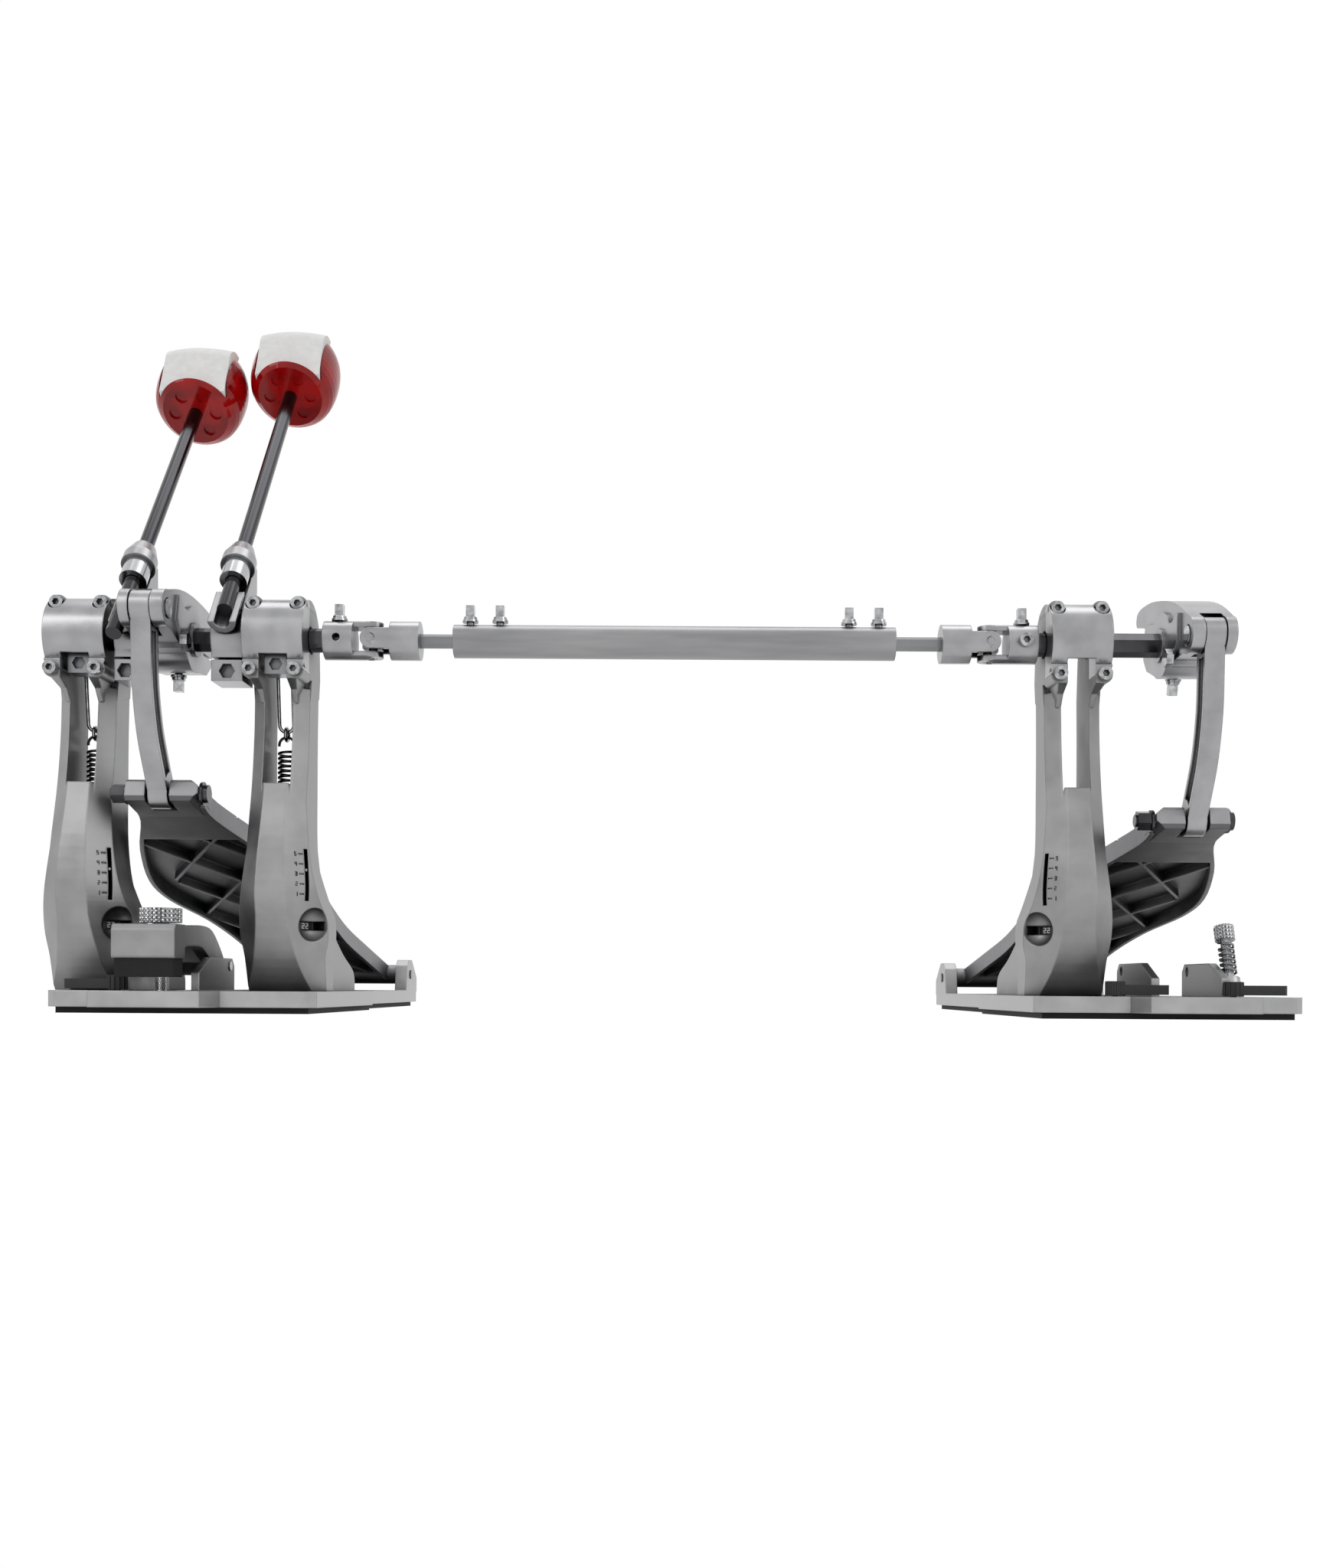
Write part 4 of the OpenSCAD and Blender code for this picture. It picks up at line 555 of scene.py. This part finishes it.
def addTowerFigures(name, centreX, hand, frameBody, wheelBody):
    t = tower
    left = t["scaleLeft"] if hand > 0 else -t["scaleLeft"] - t["scaleHeight"] * figure["aspect"]
    scale = [(str(k + 1), left, t["scaleLow"] + k * t["scaleStep"] - t["scaleHeight"] / 3, t["scaleHeight"])
             for k in range(t["scaleMarks"])]
    addFigures(name + "Scale", scale, facePlace(centreX, hand), frameBody, blackPaint,
               proud=t["scaleProud"])
    middle = t["wheelCount"] // 2
    marks = [(str(t["wheelFirst"] + t["wheelRise"] * k), t["wheelStep"] * (k - middle) + t["wheelLeft"],
              t["wheelLow"], t["wheelHeight"]) for k in range(t["wheelCount"])]
    addFigures(name + "WheelMarks", marks, rimPlace(centreX, hand), wheelBody, whitePaint)


addTowerFigures("outer", -41.5, 1, "master_frame", "outer_wheel")
addTowerFigures("inner", 56.5, 1, "master_frame", "inner_wheel")
addTowerFigures("slave", 456.5, -1, "slave_frame", "slave_wheel")
print("figures made")

# Floor, world and lamps. glow and dimPaper make the floor near white in view, with the shadows left on it
studio = {"floorHalf": 6.0, "paper": "#f4f4f4", "glow": 0.9, "dimPaper": "#8a8a8a", "lit": 0.4, "seen": 1.0,
          "target": (0.25, 0, 0.15)}
# Softboxes: place, size and power
lamps = {"softboxLeft": ((-1.1, -1.2, 1.3), (0.9, 1.2), 9),
         "softboxRight": ((1.7, -0.9, 1.1), (0.8, 1.2), 6),
         "softboxTop": ((0.25, 0.5, 1.8), (1.6, 0.8), 8)}


def backdropShader(tree, output, lit, seen):  # the camera and reflections see white, the light stays plain
    path = addNode(tree, "ShaderNodeLightPath")
    inView = compute(tree, "MAXIMUM", path.outputs["Is Camera Ray"], path.outputs["Is Glossy Ray"])
    inView = compute(tree, "MAXIMUM", inView, path.outputs["Is Transmission Ray"])
    mixed = addNode(tree, "ShaderNodeMixShader", {0: inView, 1: lit, 2: seen})
    tree.links.new(mixed.outputs[0], output.inputs["Surface"])


def addFloor():
    size = studio["floorHalf"]
    mesh = bpy.data.meshes.new("studioFloor")
    corners = [(-size, -size, 0), (size, -size, 0), (size, size, 0), (-size, size, 0)]
    mesh.from_pydata(corners, [], [(0, 1, 2, 3)])
    obj = bpy.data.objects.new("studioFloor", mesh)
    scene.collection.objects.link(obj)
    material, tree, output, _ = newMaterial("whitePaperFloor")
    paper = addNode(tree, "ShaderNodeBsdfDiffuse", {"Color": hexColour(studio["paper"])}).outputs[0]
    glow = addNode(tree, "ShaderNodeEmission", {"Color": (1, 1, 1, 1), "Strength": studio["glow"]}).outputs[0]
    dimPaper = addNode(tree, "ShaderNodeBsdfDiffuse", {"Color": hexColour(studio["dimPaper"])}).outputs[0]
    shadowed = addNode(tree, "ShaderNodeAddShader", {0: glow, 1: dimPaper}).outputs[0]
    backdropShader(tree, output, paper, shadowed)
    mesh.materials.append(material)


def addWorld():
    world = bpy.data.worlds.new("studioWorld")
    scene.world = world
    world.use_nodes = True
    tree = world.node_tree
    tree.nodes.clear()
    output = addNode(tree, "ShaderNodeOutputWorld")
    lit = addNode(tree, "ShaderNodeBackground", {"Color": (1, 1, 1, 1), "Strength": studio["lit"]}).outputs[0]
    seen = addNode(tree, "ShaderNodeBackground", {"Color": (1, 1, 1, 1), "Strength": studio["seen"]}).outputs[0]
    backdropShader(tree, output, lit, seen)


def addLamp(name, place, size, power):
    data = bpy.data.lights.new(name, "AREA")
    data.shape = "RECTANGLE"
    data.size, data.size_y = size
    data.energy = power
    obj = bpy.data.objects.new(name, data)
    obj.location = place
    obj.rotation_euler = (Vector(studio["target"]) - Vector(place)).to_track_quat("-Z", "Y").to_euler()
    scene.collection.objects.link(obj)


addFloor()
addWorld()
for key, (place, size, power) in lamps.items():
    addLamp(key, place, size, power)
print("studio lit")
